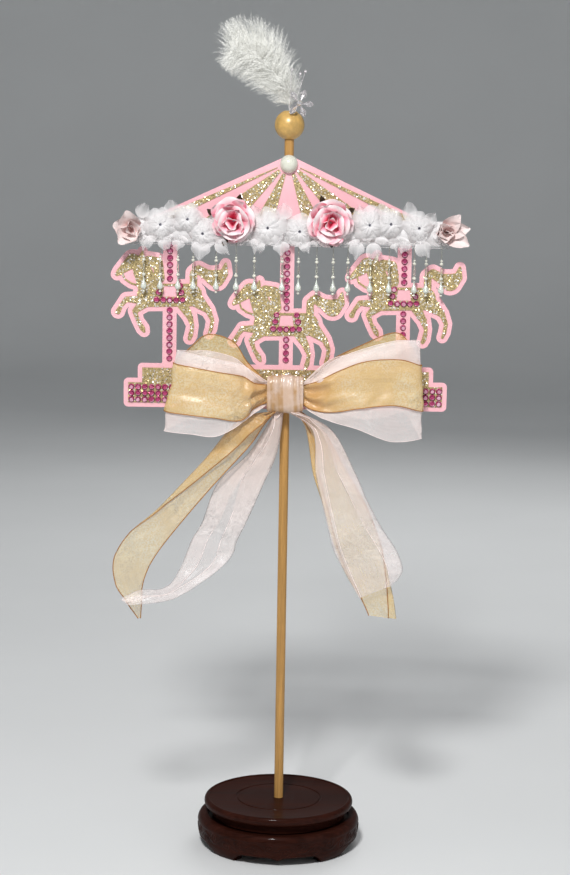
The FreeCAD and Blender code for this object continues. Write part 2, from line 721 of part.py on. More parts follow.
def platform_stones():
    """Rows of stones along the lower tier, centred on it."""
    span = 2 * (LOWER_TIER_HALF_WIDTH - BORDER - STONE_RADIUS - SEAT_GAP)
    columns = int(span / PLATFORM_STONE_PITCH_X) + 1
    first_x = -(columns - 1) * PLATFORM_STONE_PITCH_X / 2
    first_z = PLATFORM + BORDER + STONE_RADIUS + SEAT_GAP
    places = [
        (first_x + i * PLATFORM_STONE_PITCH_X, first_z + row * PLATFORM_STONE_PITCH_Z)
        for row in range(PLATFORM_STONE_ROWS)
        for i in range(columns)
    ]
    return stones(places, GLITTER_FRONT)


def glue_seams():
    """Two fillets of glue between the dowel and the back of the card."""
    height = APEX - PLATFORM - 8 * BORDER
    half = DOWEL_RADIUS + GLUE_SEAM_WIDTH
    strip = Part.makeBox(2 * half, GLUE_SEAM_DEPTH, height, V(-half, CARD_BACK, PLATFORM + 4 * BORDER))
    return strip.cut(cylinder(DOWEL_RADIUS + GLUE_GAP, PLATFORM, APEX))


def along_eave(x):
    return x * ROOF_HALF_WIDTH / LAID_OUT_HALF_WIDTH


def garland_band():
    return slab(band_outline(), CARD_FRONT, BAND_THICKNESS)


def fringe_tape():
    """A tape with a corded lower edge, notched where each bead string loops round the cord."""
    half = BAND_HALF_WIDTH
    tape = Part.makeBox(2 * half, TAPE_THICKNESS, VALANCE + TAPE_OVERLAP - CORD_Z,
                        V(-half, BAND_FRONT - TAPE_THICKNESS, CORD_Z))
    notch_width = LOOP_LENGTH + 2 * NOTCH_GAP
    for x in DROP_X:
        notch = Part.makeBox(notch_width, 3 * TAPE_THICKNESS, LOOP_RADIUS + NOTCH_GAP,
                             V(along_eave(x) - notch_width / 2, BAND_FRONT - 2 * TAPE_THICKNESS, CORD_Z))
        tape = tape.cut(notch)
    cord = Part.makeCylinder(CORD_RADIUS, 2 * half, V(-half, CORD_Y, CORD_Z), V(1, 0, 0))
    return united([tape, cord])


def bead_drop():
    """A string of beads hung by a six-sided loop, made with the loop's hole along X at the origin."""
    hole = (CORD_RADIUS + LOOP_GAP) / math.cos(math.pi / 6)
    loop = faceted([(LOOP_RADIUS, 0), (LOOP_RADIUS, LOOP_LENGTH)], 6)
    loop = loop.cut(faceted([(hole, -1), (hole, LOOP_LENGTH + 1)], 6))
    loop.rotate(V(0, 0, 0), UP, 30)
    pieces = [pointed(loop, V(-LOOP_LENGTH / 2, 0, 0), V(1, 0, 0))]
    height = -LOOP_RADIUS * math.cos(math.pi / 6)
    for kind, length, radius in BEAD_STRING:
        rings, sides = BEAD_RINGS[kind]
        height -= length
        bead = faceted([(radius * r, length * h) for r, h in rings], sides)
        pieces.append(moved(bead, 0, 0, height))
    return Part.makeCompound(pieces)


def petal(stations, thickness):
    """A folded petal along +X. A station has a distance out, a height and a half-width."""
    def corners(station, lift):
        out, height, half = station
        return V(out, -half, height + lift), V(out, half, height + lift)

    low = [corners(s, 0) for s in stations]
    high = [corners(s, thickness) for s in stations]
    faces = []
    for i in range(len(stations) - 1):
        for layer in (low, high):
            faces.append(polygon_face([layer[i][0], layer[i][1], layer[i + 1][1], layer[i + 1][0]]))
        for side in (0, 1):
            faces.append(polygon_face([low[i][side], low[i + 1][side], high[i + 1][side], high[i][side]]))
    for i in (0, -1):
        faces.append(polygon_face([low[i][0], low[i][1], high[i][1], high[i][0]]))
    return closed(faces)


def flower(hub_rings, layers, x, height):
    """Layers of petals fused to a hub, facing forward from the garland's band.

    A layer has a count, a first angle and the petal's stations."""
    pieces = [faceted(hub_rings, 8)]
    for count, first, stations in layers:
        leaf = petal(stations, PETAL_THICKNESS)
        for i in range(count):
            copy = leaf.copy()
            copy.rotate(V(0, 0, 0), UP, first + 360 * i / count)
            pieces.append(copy)
    return pointed(united(pieces), V(along_eave(x), BAND_FRONT, VALANCE + height), FORWARD)


def rose(x, height):
    """Two rings of cupped petals round a tall bud."""
    r = ROSE_RADIUS
    outer = ((3, 0.6, 3), (0.6 * r, 3, 0.52 * r), (r - 0.8, 8, 0.26 * r))
    inner = ((2, 2, 2), (0.4 * r, 7, 0.36 * r), (0.62 * r, 12, 0.2 * r))
    bud = [(0.28 * r, 0), (0.32 * r, 7), (0.15 * r, 13)]
    return flower(bud, [(5, 0, outer), (5, 36, inner)], x, height)


def blossom(x, height):
    """Five open pointed petals."""
    r = BLOSSOM_RADIUS
    leaf = ((2, 1, 2), (0.55 * r, 4, 0.4 * r), (r - 0.6, 6, 0.08 * r))
    return flower([(4, 0), (4, HUB_DEPTH)], [(5, 18, leaf)], x, height)


def rosette(x, height, r):
    """Two rings of ruffles round a flat button that holds a gem."""
    hub = 0.36 * r
    outer = ((0.3 * r, 0.8, 0.2 * r), (0.65 * r, 3, 0.38 * r), (0.96 * r, 5, 0.22 * r))
    inner = ((0.25 * r, 2, 0.2 * r), (0.5 * r, 5, 0.3 * r), (0.72 * r, 8, 0.2 * r))
    return flower([(hub, 0), (hub, HUB_DEPTH)], [(6, 0, outer), (5, 20, inner)], x, height)


def rosette_gems():
    gem = faceted([(GEM_RADIUS, 0), (0.55 * GEM_RADIUS, 1)], 6)
    face = BAND_FRONT - HUB_DEPTH
    seats = [seat for group in ROSETTES.values() for seat in group]
    places = [V(along_eave(x), face, VALANCE + height) for x, height, _ in seats]
    return Part.makeCompound([pointed(gem, place, FORWARD) for place in places])


def ribbon(stations):
    """A band of ribbon through pairs of edge points, ruled between the four rails of its corners."""
    middles = [(a + b) * 0.5 for a, b in stations]
    sections = []
    for i, (a, b) in enumerate(stations):
        along = middles[min(i + 1, len(middles) - 1)] - middles[max(i - 1, 0)]
        normal = along.cross(b - a)
        normal.normalize()
        offset = normal * (RIBBON_THICKNESS / 2)
        sections.append([a - offset, b - offset, b + offset, a + offset])
    faces = [polygon_face(sections[0]), polygon_face(sections[-1])]
    for near, far in zip(sections, sections[1:]):
        for i in range(4):
            j = (i + 1) % 4
            rails = Part.makeLine(near[i], far[i]), Part.makeLine(near[j], far[j])
            faces.append(Part.makeRuledSurface(*rails))
    return closed(faces)


def bow_loop(side, reach, half_width, inset):
    """A ribbon loop out of the knot and back. inset draws it inside the layer that covers it."""
    root = KNOT_HALF_WIDTH + 2 * SEAT_GAP
    stations = []
    for i in range(LOOP_STATIONS):
        u = i / (LOOP_STATIONS - 1)
        out = math.sin(math.pi * u)
        swing = math.sin(2 * math.pi * u)
        spread = min(1, 3 * out) ** 2
        half = GATHERED_HALF_WIDTH + (half_width - GATHERED_HALF_WIDTH) * spread
        x = side * (root + (reach - root - inset) * out)
        end = (KNOT_LAYER - inset) * (1 - 2 * u)
        y = KNOT_Y - LOOP_LEAN * out - (LOOP_BULGE - inset) * swing - end
        z = KNOT_Z - LOOP_BACK_RISE * swing
        stations.append((V(x, y, z - half), V(x, y, z + half)))
    return ribbon(stations)


def bow_knot():
    """The crowned wrap round the middle of the bow, rounded from the front and from the side."""
    w, h, d = KNOT_HALF_WIDTH, KNOT_HALF_HEIGHT, KNOT_HALF_DEPTH
    crown = KNOT_CROWN
    front = outline([
        (-w, h - crown),
        (w, h - crown, 0, h),
        (w, -h + crown),
        (-w, -h + crown, 0, -h),
    ])
    front.translate(V(0, d, 0))
    crown = KNOT_SIDE_CROWN
    side = outline([
        (-d, h - crown),
        (d, h - crown, 0, h),
        (d, -h + crown),
        (-d, -h + crown, 0, -h),
    ])
    side.rotate(V(0, 0, 0), UP, 90)
    side.translate(V(-w, 0, 0))
    knot = front.extrude(FORWARD * 2 * d).common(side.extrude(V(2 * w, 0, 0)))
    return moved(knot, 0, KNOT_Y, KNOT_Z)


def crown_rise(offset, half, crown):
    """How far an arc that rises by crown at half its width has risen at an offset from its middle."""
    radius = (half ** 2 + crown ** 2) / (2 * crown)
    return radius - math.sqrt(radius ** 2 - offset ** 2)


def bow_tail(edges):
    """A tail that hangs from the crowned underside of the knot."""
    foot = KNOT_Z - KNOT_HALF_HEIGHT
    stations = [[V(x, KNOT_Y + y, foot + z) for x, y, z in pair] for pair in edges]
    for point, (x, y, _) in zip(stations[0], edges[0]):
        across = crown_rise(x, KNOT_HALF_WIDTH, KNOT_CROWN)
        deep = crown_rise(y, KNOT_HALF_DEPTH, KNOT_SIDE_CROWN)
        point.z = foot + max(across, deep) - 2 * SEAT_GAP
    return ribbon(stations)


def build():
    """Every piece of the centrepiece by the name of its node."""
    horse = horse_outline(0).cut(saddle_window())
    nodes = {
        "stand_base": stand_base(),
        "base_bush": base_bush(),
        "glide_ring": glide_ring(),
        "pivot_spigot": pivot_spigot(),
        "retaining_washer": retaining_washer(),
        "turntable_disc": turntable_disc(),
        "dowel": dowel(),
        "ball_finial": ball_finial(),
        "finial_glue": finial_glue(),
        "feather_quill": feather_quill(),
        "feather_plume": feather_plume(),
        "crystal_flower": crystal_flower(),
        "crystal_sprays": crystal_sprays(),
        "apex_pearl": apex_pearl(),
        "backing_card": backing_card(horse_outline(BORDER)),
        "roof_stripes": roof_stripes(),
        "platform_glitter": platform_glitter(),
        "pole_stones": pole_stones(),
        "saddle_stones": saddle_stones(),
        "platform_stones": platform_stones(),
        "glue_seams": glue_seams(),
        "garland_band": garland_band(),
        "fringe_tape": fringe_tape(),
        "rosette_gems": rosette_gems(),
        "gold_loop_left": bow_loop(-1, LEFT_LOOP_REACH, GOLD_HALF_WIDTH, 0),
        "gold_loop_right": bow_loop(1, RIGHT_LOOP_REACH, GOLD_HALF_WIDTH, 0),
        "ivory_loop_left": bow_loop(-1, LEFT_LOOP_REACH, IVORY_HALF_WIDTH, LAYER_GAP),
        "ivory_loop_right": bow_loop(1, RIGHT_LOOP_REACH, IVORY_HALF_WIDTH, LAYER_GAP),
        "bow_knot": bow_knot(),
    }
    for name, (x, z) in HORSES.items():
        nodes[name] = glitter_horse(horse, x, z)
    for name, place in ROSES.items():
        nodes[name] = rose(*place)
    for name, place in BLOSSOMS.items():
        nodes[name] = blossom(*place)
    for name, group in ROSETTES.items():
        nodes[name] = Part.makeCompound([rosette(*place) for place in group])
    for name, edges in TAILS.items():
        nodes[name] = bow_tail(edges)
    drop = bead_drop()
    for number, x in enumerate(DROP_X, 1):
        nodes[f"bead_drop_{number:02d}"] = moved(drop, along_eave(x), CORD_Y, CORD_Z)
    return nodes


os.makedirs("parts", exist_ok=True)
for node, shape in build().items():
    shape.exportStep(f"parts/{node}.step")
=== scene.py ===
"""Looks of a carousel table centrepiece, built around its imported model."""
import json
import math
import random

import bmesh
import bpy
from bpy.props import FloatProperty, FloatVectorProperty, IntProperty, PointerProperty
from mathutils import Matrix, Vector, noise


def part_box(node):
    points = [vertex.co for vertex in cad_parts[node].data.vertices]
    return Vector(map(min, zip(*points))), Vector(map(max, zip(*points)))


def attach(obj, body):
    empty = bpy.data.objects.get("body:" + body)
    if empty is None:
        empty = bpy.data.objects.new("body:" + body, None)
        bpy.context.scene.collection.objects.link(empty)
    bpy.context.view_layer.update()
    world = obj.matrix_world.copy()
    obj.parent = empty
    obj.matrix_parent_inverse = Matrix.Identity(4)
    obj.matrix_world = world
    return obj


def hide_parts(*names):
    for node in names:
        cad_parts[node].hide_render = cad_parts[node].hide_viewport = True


bl_info = {
    "name": "Carousel centrepiece",
    "version": (1, 0, 0),
    "blender": (4, 5, 0),
    "location": "3D View > Sidebar > Carousel",
    "description": "Dresses the carousel centrepiece's packed model in its finishes and soft pieces",
    "category": "Object",
}

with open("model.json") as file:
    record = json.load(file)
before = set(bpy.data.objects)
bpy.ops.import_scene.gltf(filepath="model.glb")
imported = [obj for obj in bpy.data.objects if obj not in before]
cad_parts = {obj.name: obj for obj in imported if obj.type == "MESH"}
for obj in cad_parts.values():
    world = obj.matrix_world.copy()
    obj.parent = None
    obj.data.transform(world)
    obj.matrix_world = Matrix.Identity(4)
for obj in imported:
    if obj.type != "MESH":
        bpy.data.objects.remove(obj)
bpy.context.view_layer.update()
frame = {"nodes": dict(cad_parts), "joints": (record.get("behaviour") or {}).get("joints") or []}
NODES = frame["nodes"]
MM = 0.001
TURNTABLE = "turntable"
FACING = Vector((0, -1, 0))
UP = Vector((0, 0, 1))
CENTRE = Matrix.Identity(4)
# Share of a run over which each of its ends is eased away
END_FADE = 0.02
# Points nearer together than these are joined, in metres
WELD, ISLAND_WELD = 1e-7, 1e-6


def node_middle(name):
    low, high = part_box(name)
    return (low + high) / 2


def node_size(name):
    low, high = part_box(name)
    return high - low


GLITTER_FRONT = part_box("platform_glitter")[0].y
BAND_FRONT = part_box("garland_band")[0].y
BAND_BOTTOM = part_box("garland_band")[0].z
BALL_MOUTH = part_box("finial_glue")[1].z
KNOT = node_middle("bow_knot")
KNOT_HALF = node_size("bow_knot") / 2


def length(name, description, default):
    return FloatProperty(name=name, description=description, default=default, min=0, unit="LENGTH",
                         precision=5)


def colour(name, description, default):
    return FloatVectorProperty(name=name, description=description, default=default, min=0, max=1,
                               subtype="COLOR")


class CarouselSizes(bpy.types.PropertyGroup):
    """Sizes that change how the centrepiece is dressed."""
    flake: length("Glitter flake", "Width of one glitter flake", 1.45 * MM)
    flake_gap: length("Flake spacing", "Least distance between two flakes", 0.74 * MM)
    stone: length("Stone", "Radius of one flat-backed stone", 2.8 * MM)
    stone_height: length("Stone height", "Height of a stone above its flat back", 1.9 * MM)
    wire: length("Ribbon wire", "Thickness of the wire in the gold ribbon's edges", 0.9 * MM)
    barb: length("Feather barb", "Length of the plume's longest barbs", 37 * MM)
    barbs: IntProperty(name="Barbs", description="How many barbs the plume has", default=2000, min=10)
    carving: length("Carving depth", "Depth of the scroll carving on the stand", 0.5 * MM)


class CarouselColours(bpy.types.PropertyGroup):
    """Colours of the centrepiece's finishes, in linear light."""
    card: colour("Card", "Die-cut card", (0.89, 0.49, 0.54))
    glitter: colour("Glitter", "Gold glitter card", (0.62, 0.48, 0.23))
    stone: colour("Stone", "Flat-backed stones", (0.38, 0.05, 0.14))
    gold_ribbon: colour("Gold ribbon", "Sheer gold ribbon", (0.78, 0.52, 0.13))
    ivory_ribbon: colour("Ivory ribbon", "Sheer ivory ribbon", (0.97, 0.84, 0.81))
    knot: colour("Knot", "Gold under ivory in the bow's knot", (0.46, 0.26, 0.11))
    wire: colour("Wire", "Wire in the gold ribbon's edges", (0.40, 0.17, 0.035))
    rose_deep: colour("Rose heart", "Heart of the roses", (0.90, 0.08, 0.20))
    rose: colour("Rose", "Petals of the roses", (0.97, 0.36, 0.46))
    rose_rim: colour("Rose rim", "Rims of the roses' petals", (0.88, 0.76, 0.77))
    blossom: colour("Blossom", "Blossoms at the garland's ends", (0.82, 0.69, 0.67))
    organza: colour("Organza", "White rosettes and ruffles", (0.84, 0.815, 0.815))
    lacquer: colour("Lacquer", "Lacquered wood of the stand", (0.025, 0.0068, 0.0042))
    dowel: colour("Dowel", "Bare wood of the dowel", (0.50, 0.27, 0.08))
    paint: colour("Gold paint", "Painted ball", (0.60, 0.37, 0.11))
    pearl: colour("Pearl", "Pearls", (0.72, 0.72, 0.62))
    drop: colour("Drop", "Teardrop beads", (0.76, 0.81, 0.73))
    feather: colour("Feather", "Down of the plume", (0.99, 0.985, 0.94))


def sizes():
    return bpy.context.scene.carousel_sizes


def colours():
    return bpy.context.scene.carousel_colours


# Shapes

def smooth(points, count):
    """Points spaced along a smooth curve that passes through the given ones."""
    knots = [Vector(p) for p in points]
    last = len(knots) - 1
    made = []
    for i in range(count + 1):
        at = i / count * last
        k = min(int(at), last - 1)
        f = at - k
        a, b, c, d = (knots[max(0, min(last, k + step))] for step in (-1, 0, 1, 2))
        bend = (c - a) * f + (2 * a - 5 * b + 4 * c - d) * f ** 2 + (3 * b - a - 3 * c + d) * f ** 3
        made.append(b + bend / 2)
    return made


def between(values, share):
    """The value at a share from 0 to 1 along a list, straight between its entries."""
    at = max(0, min(1, share)) * (len(values) - 1)
    k = min(int(at), len(values) - 2)
    return values[k] + (values[k + 1] - values[k]) * (at - k)


def ease(low, high, value):
    """Rises smoothly from 0 to 1 as a value goes from low to high."""
    share = max(0, min(1, (value - low) / (high - low)))
    return share * share * (3 - 2 * share)


def end_fade(share):
    """1 along a run, eased down to 0 at both its ends."""
    return ease(0, END_FADE, share) * (1 - ease(1 - END_FADE, 1, share))


def spaced(start, end, steps):
    """Values evenly spaced from a start to an end, both included."""
    return [start + (end - start) * k / steps for k in range(steps + 1)]


def turns(count):
    """Angles evenly spaced round one turn, from 0."""
    return [2 * math.pi * k / count for k in range(count)]


class Shape:
    """Points and faces of a mesh under construction, with one value and one flat place for each point."""

    def __init__(self):
        self.points = []
        self.faces = []
        self.values = []
        self.places = []
        self.finishes = []

    def sheet(self, rows, around=False, value=None, place=None, finish=0):
        """Adds quads through rows of points. around joins the end of each row to its start."""
        first, width = len(self.points), len(rows[0])
        for i, row in enumerate(rows):
            for j, point in enumerate(row):
                self.points.append(Vector(point))
                self.values.append(value(i, j) if value else 0)
                self.places.append(place(i, j) if place else (j, i))
        for i in range(len(rows) - 1):
            for j in range(width if around else width - 1):
                k = (j + 1) % width
                near, far = first + i * width, first + (i + 1) * width
                self.faces.append((near + j, near + k, far + k, far + j))
                self.finishes.append(finish)

    def turned(self, profile, segments, place=CENTRE, finish=0):
        """Adds a form turned on an axis. profile holds radius and height, and place takes it to its seat."""
        angles = turns(segments)
        rows = [[place @ Vector((r * math.cos(a), r * math.sin(a), z)) for a in angles] for r, z in profile]
        self.sheet(rows, around=True, finish=finish)

    def tube(self, line, radius, sides=6, finish=0):
        """Adds a round tube along a line of points, with both ends closed to a point."""
        rows = []
        for i, point in enumerate(line):
            along = (line[min(i + 1, len(line) - 1)] - line[max(i - 1, 0)]).normalized()
            across = along.cross(UP if abs(along.z) < 0.9 else Vector((1, 0, 0))).normalized()
            over = along.cross(across)
            size = radius(i / (len(line) - 1)) if callable(radius) else radius
            rows.append([point + (across * math.cos(a) + over * math.sin(a)) * size for a in turns(sides)])
        self.sheet([[line[0]] * sides] + rows + [[line[-1]] * sides], around=True, finish=finish)

    def mesh(self, name, closed=False, angle=None):
        """The finished mesh, smooth but for edges sharper than an angle in degrees."""
        mesh = bpy.data.meshes.new(name)
        mesh.from_pydata(self.points, [], self.faces)
        mesh.attributes.new("shade", "FLOAT", "POINT").data.foreach_set("value", self.values)
        layer = mesh.uv_layers.new(name="flat")
        for loop in mesh.loops:
            layer.data[loop.index].uv = self.places[loop.vertex_index]
        mesh.polygons.foreach_set("material_index", self.finishes)
        work = bmesh.new()
        work.from_mesh(mesh)
        bmesh.ops.remove_doubles(work, verts=work.verts, dist=WELD)
        bmesh.ops.dissolve_degenerate(work, edges=work.edges, dist=WELD)
        if closed:
            bmesh.ops.recalc_face_normals(work, faces=work.faces)
        work.to_mesh(mesh)
        work.free()
        mesh.polygons.foreach_set("use_smooth", [True] * len(mesh.polygons))
        if angle:
            mesh.set_sharp_from_angle(angle=math.radians(angle))
        return mesh


MADE = {}


def once(make):
    """What a function makes, made when it is first asked for."""
    if make.__name__ not in MADE:
        MADE[make.__name__] = make()
    return MADE[make.__name__]


def piece(name, mesh, makers, replaced=(), body=TURNTABLE):
    """Puts a finished mesh in the scene as a piece that rides on a body and stands for its nodes."""
    made = bpy.data.objects.new(name, mesh)
    bpy.context.scene.collection.objects.link(made)
    finishes = [face.material_index for face in mesh.polygons]
    mesh.materials.clear()
    for make in makers:
        mesh.materials.append(once(make))
    if len(makers) > 1:
        mesh.polygons.foreach_set("material_index", finishes)
    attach(made, body)
    if replaced:
        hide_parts(*replaced)
    return made


def shaped_piece(name, shape, makers, slot, replaced=(), body=TURNTABLE, **edges):
    """Puts a shape in the scene as a piece, with its mesh closed or not and sharp past an angle."""
    return piece(name, shape.mesh(name, **edges), makers, replaced, body)


def dress(name, make):
    """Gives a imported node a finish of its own."""
    NODES[name].data.materials.clear()
    NODES[name].data.materials.append(once(make))


def islands(name):
    """The middle of each separate solid of a node, from a merged copy of its mesh."""
    work = bmesh.new()
    work.from_mesh(NODES[name].data)
    bmesh.ops.remove_doubles(work, verts=work.verts, dist=ISLAND_WELD)
    seen, middles = set(), []
    for start in work.verts:
        if start in seen:
            continue
        seen.add(start)
        group, todo = [], [start]
        while todo:
            vert = todo.pop()
            group.append(vert.co.copy())
            for edge in vert.link_edges:
                other = edge.other_vert(vert)
                if other not in seen:
                    seen.add(other)
                    todo.append(other)
        low = Vector(map(min, zip(*group)))
        high = Vector(map(max, zip(*group)))
        middles.append((low + high) / 2)
    work.free()
    return middles


# Node trees

def node(tree, kind, inputs=None, **settings):
    """Adds a node. An input is given as a value or as the output that feeds it."""
    made = tree.nodes.new(kind)
    for key, value in settings.items():
        setattr(made, key, value)
    for key, value in (inputs or {}).items():
        if isinstance(value, bpy.types.NodeSocket):
            tree.links.new(value, made.inputs[key])
        else:
            made.inputs[key].default_value = value
    return made


def maths(tree, operation, first, second=0.5):
    return node(tree, "ShaderNodeMath", {0: first, 1: second}, operation=operation).outputs[0]


def vectors(tree, operation, first, second):
    """Two vectors put together, or for SCALE a vector and a number."""
    key = "Scale" if operation == "SCALE" else 1
    return node(tree, "ShaderNodeVectorMath", {0: first, key: second}, operation=operation).outputs[0]


def clouds(tree, vector, scale, detail, distortion=0.0):
    """Soft noise, mostly between 0.3 and 0.7."""
    inputs = {"Vector": vector, "Scale": scale, "Detail": detail, "Distortion": distortion}
    return node(tree, "ShaderNodeTexNoise", inputs).outputs["Fac"]


def blend_colours(tree, share, first, second):
    mix = node(tree, "ShaderNodeMix", data_type="RGBA")
    for socket, value in ((mix.inputs[0], share), (mix.inputs[6], first), (mix.inputs[7], second)):
        if isinstance(value, bpy.types.NodeSocket):
            tree.links.new(value, socket)
        else:
            socket.default_value = (*value[:3], 1)
    return mix.outputs[2]


def spread_between(tree, value, low, high, start=0.0, end=1.0):
    """A value from one span laid over another."""
    inputs = {"Value": value, "From Min": start, "From Max": end, "To Min": low, "To Max": high}
    return node(tree, "ShaderNodeMapRange", inputs).outputs["Result"]


FLOAT, VECTOR, INTEGER = "NodeSocketFloat", "NodeSocketVector", "NodeSocketInt"
GEOMETRY, OBJECT, MATERIAL = "NodeSocketGeometry", "NodeSocketObject", "NodeSocketMaterial"


def effect(name, **values):
    """An empty group of shader nodes, from a vector and named values to a mask and a height."""
    tree = bpy.data.node_groups.new(name, "ShaderNodeTree")
    tree.interface.new_socket(name="Vector", in_out="INPUT", socket_type=VECTOR)
    for socket, value in values.items():
        tree.interface.new_socket(name=socket, in_out="INPUT", socket_type=FLOAT).default_value = value
    for socket in ("Mask", "Height"):
        tree.interface.new_socket(name=socket, in_out="OUTPUT", socket_type=FLOAT)
    return tree, tree.nodes.new("NodeGroupInput").outputs, tree.nodes.new("NodeGroupOutput").inputs


def close_effect(tree, result, mask, height):
    tree.links.new(mask, result["Mask"])
    tree.links.new(height, result["Height"])
    return tree


def grain_effect():
    """Long wood grain along Z, from its vector stretched, with fine pores."""
    tree, given, result = effect("wood grain", Scale=60.0, Stretch=0.05)
    stretch = node(tree, "ShaderNodeCombineXYZ", {0: 1.0, 1: 1.0, 2: given["Stretch"]}).outputs[0]
    vector = vectors(tree, "MULTIPLY", given["Vector"], stretch)
    broad = clouds(tree, vector, given["Scale"], 4.0, 0.6)
    fine = clouds(tree, vector, maths(tree, "MULTIPLY", given["Scale"], 7.0), 3.0)
    mask = maths(tree, "ADD", maths(tree, "MULTIPLY", broad, 0.6), maths(tree, "MULTIPLY", fine, 0.4))
    return close_effect(tree, result, spread_between(tree, mask, 0.0, 1.0, 0.36, 0.64), fine)


SLUBS = (900.0, 60.0, 1.0)


def weave_effect():
    """Crossed threads on a flat place in metres, with slubs that make some threads stand out."""
    tree, given, result = effect("thread weave", Threads=2000.0)
    parts = node(tree, "ShaderNodeSeparateXYZ", {0: given["Vector"]}).outputs
    pitch = maths(tree, "MULTIPLY", given["Threads"], math.pi)
    waves = [maths(tree, "SINE", maths(tree, "MULTIPLY", parts[axis], pitch)) for axis in (0, 1)]
    crossed = maths(tree, "MAXIMUM", *(maths(tree, "ABSOLUTE", wave) for wave in waves))
    slub = clouds(tree, vectors(tree, "MULTIPLY", given["Vector"], SLUBS), 1.0, 2.0)
    height = maths(tree, "MULTIPLY", crossed, spread_between(tree, slub, 0.6, 1.0))
    return close_effect(tree, result, spread_between(tree, slub, 0.0, 1.0, 0.3, 0.7), height)


def crinkle_effect():
    """Thin meandering creases of stiff sheer cloth, with a mask of where they are crowded."""
    tree, given, result = effect("cloth crinkle", Scale=60.0)

    def cloud(factor, detail):
        return clouds(tree, given["Vector"], maths(tree, "MULTIPLY", given["Scale"], factor), detail, 0.7)

    def creases(factor, width):
        away = maths(tree, "ABSOLUTE", maths(tree, "SUBTRACT", cloud(factor, 3.0), 0.5))
        return spread_between(tree, away, 1.0, 0.0, 0.0, width)

    crowded = spread_between(tree, cloud(0.35, 1.0), 0.0, 1.0, 0.46, 0.62)
    lines = maths(tree, "MAXIMUM", creases(1.0, 0.04), creases(2.8, 0.05))
    sharp = maths(tree, "MULTIPLY", lines, crowded)
    height = maths(tree, "ADD", maths(tree, "MULTIPLY", sharp, 0.25), cloud(0.7, 2.0))
    return close_effect(tree, result, sharp, height)


def mottle_effect():
    """Soft uneven patches with a finer tooth, for every plain finish."""
    tree, given, result = effect("mottle", Scale=80.0, Tooth=2500.0)
    broad = clouds(tree, given["Vector"], given["Scale"], 3.0)
    fine = clouds(tree, given["Vector"], given["Tooth"], 2.0)
    return close_effect(tree, result, spread_between(tree, broad, 0.0, 1.0, 0.3, 0.7), fine)


class Finish:
    """A material with its shader, its coordinates and short ways to feed them."""

    def __init__(self, name, **sockets):
        self.material = bpy.data.materials.new(name)
        self.material.use_nodes = True
        self.tree = self.material.node_tree
        self.shader = self.tree.nodes["Principled BSDF"]
        for key, value in sockets.items():
            self.shader.inputs[key.replace("_", " ")].default_value = value
        coordinates = node(self.tree, "ShaderNodeTexCoord")
        self.object, self.flat = coordinates.outputs["Object"], coordinates.outputs["UV"]

    def use(self, make, **inputs):
        """The mask and the height that an effect makes from its inputs."""
        made = node(self.tree, "ShaderNodeGroup", inputs, node_tree=once(make))
        return made.outputs["Mask"], made.outputs["Height"]

    def feed(self, socket, value):
        self.tree.links.new(value, self.shader.inputs[socket])

    def shade(self):
        return node(self.tree, "ShaderNodeAttribute", attribute_name="shade").outputs["Fac"]

    def spread(self, value, *spans):
        return spread_between(self.tree, value, *spans)

    def blend(self, share, first, second):
        return blend_colours(self.tree, share, first, second)

    def part(self, value, share):
        return maths(self.tree, "MULTIPLY", value, share)

    def colours(self, share, first, second):
        self.feed("Base Color", self.blend(share, first, second))

    def rough(self, share, low, high):
        self.feed("Roughness", self.spread(share, low, high))

    def bump(self, *heights):
        """Bumps the surface by pairs of height and depth in metres."""
        normal = None
        for height, depth in heights:
            inputs = {"Height": height, "Distance": depth, "Strength": 1.0}
            if normal is not None:
                inputs["Normal"] = normal
            normal = node(self.tree, "ShaderNodeBump", inputs).outputs["Normal"]
        self.feed("Normal", normal)


def towards(rgb, other, share):
    """A colour taken a share of the way to another."""
    return tuple(a + (b - a) * share for a, b in zip(rgb, other))


def times(rgb, factor):
    return tuple(min(1, c * factor) for c in rgb)


def shades(rgb, low, high):
    """A colour made darker or lighter by each of two factors."""
    return times(rgb, low), times(rgb, high)


def mottled(name, pair, patches, tooth, rough=None, depth=None, **sockets):
    """A plain finish of two colours in soft patches, with a span of roughness and a bump in millimetres."""
    f = Finish(name, **sockets)
    mask, height = f.use(mottle_effect, Vector=f.object, Scale=patches, Tooth=tooth)
    f.colours(mask, *pair)
    if rough:
        f.rough(mask, *rough)
    if depth:
        f.bump((height, depth * MM))
    return f.material


def lacquered_wood():
    f = Finish("lacquered wood", Roughness=0.4, Coat_Weight=0.1, Coat_Roughness=0.07, Specular_IOR_Level=0.02)
    turn = node(f.tree, "ShaderNodeMapping", {"Vector": f.object, "Rotation": (0, math.pi / 2, 0)})
    mask, height = f.use(grain_effect, Vector=turn.outputs[0], Scale=55.0, Stretch=0.06)
    f.colours(mask, *shades(colours().lacquer, 0.62, 1.5))
    f.rough(mask, 0.36, 0.46)
    f.bump((height, 0.02 * MM))
    return f.material


def dowel_wood():
    f = Finish("bare dowel wood", Roughness=0.5, Specular_IOR_Level=0.35)
    mask, height = f.use(grain_effect, Vector=f.object, Scale=420.0, Stretch=0.03)
    f.colours(mask, *shades(colours().dowel, 0.72, 1.12))
    f.rough(mask, 0.42, 0.6)
    f.bump((height, 0.06 * MM))
    return f.material


def gold_paint():
    return mottled("gold paint on wood", shades(colours().paint, 0.82, 1.15), patches=220.0, tooth=1600.0,
                   rough=(0.36, 0.48), depth=0.03, Roughness=0.42, Metallic=0.15, Coat_Weight=0.4,
                   Coat_Roughness=0.24)


def plain_metal(name, rgb, low, high):
    return mottled(name, shades(rgb, 0.9, 1.05), patches=300.0, tooth=3000.0, rough=(low, high), depth=0.01,
                   Metallic=1.0)


def pivot_steel():
    return plain_metal("turned steel", (0.60, 0.60, 0.62), 0.25, 0.4)


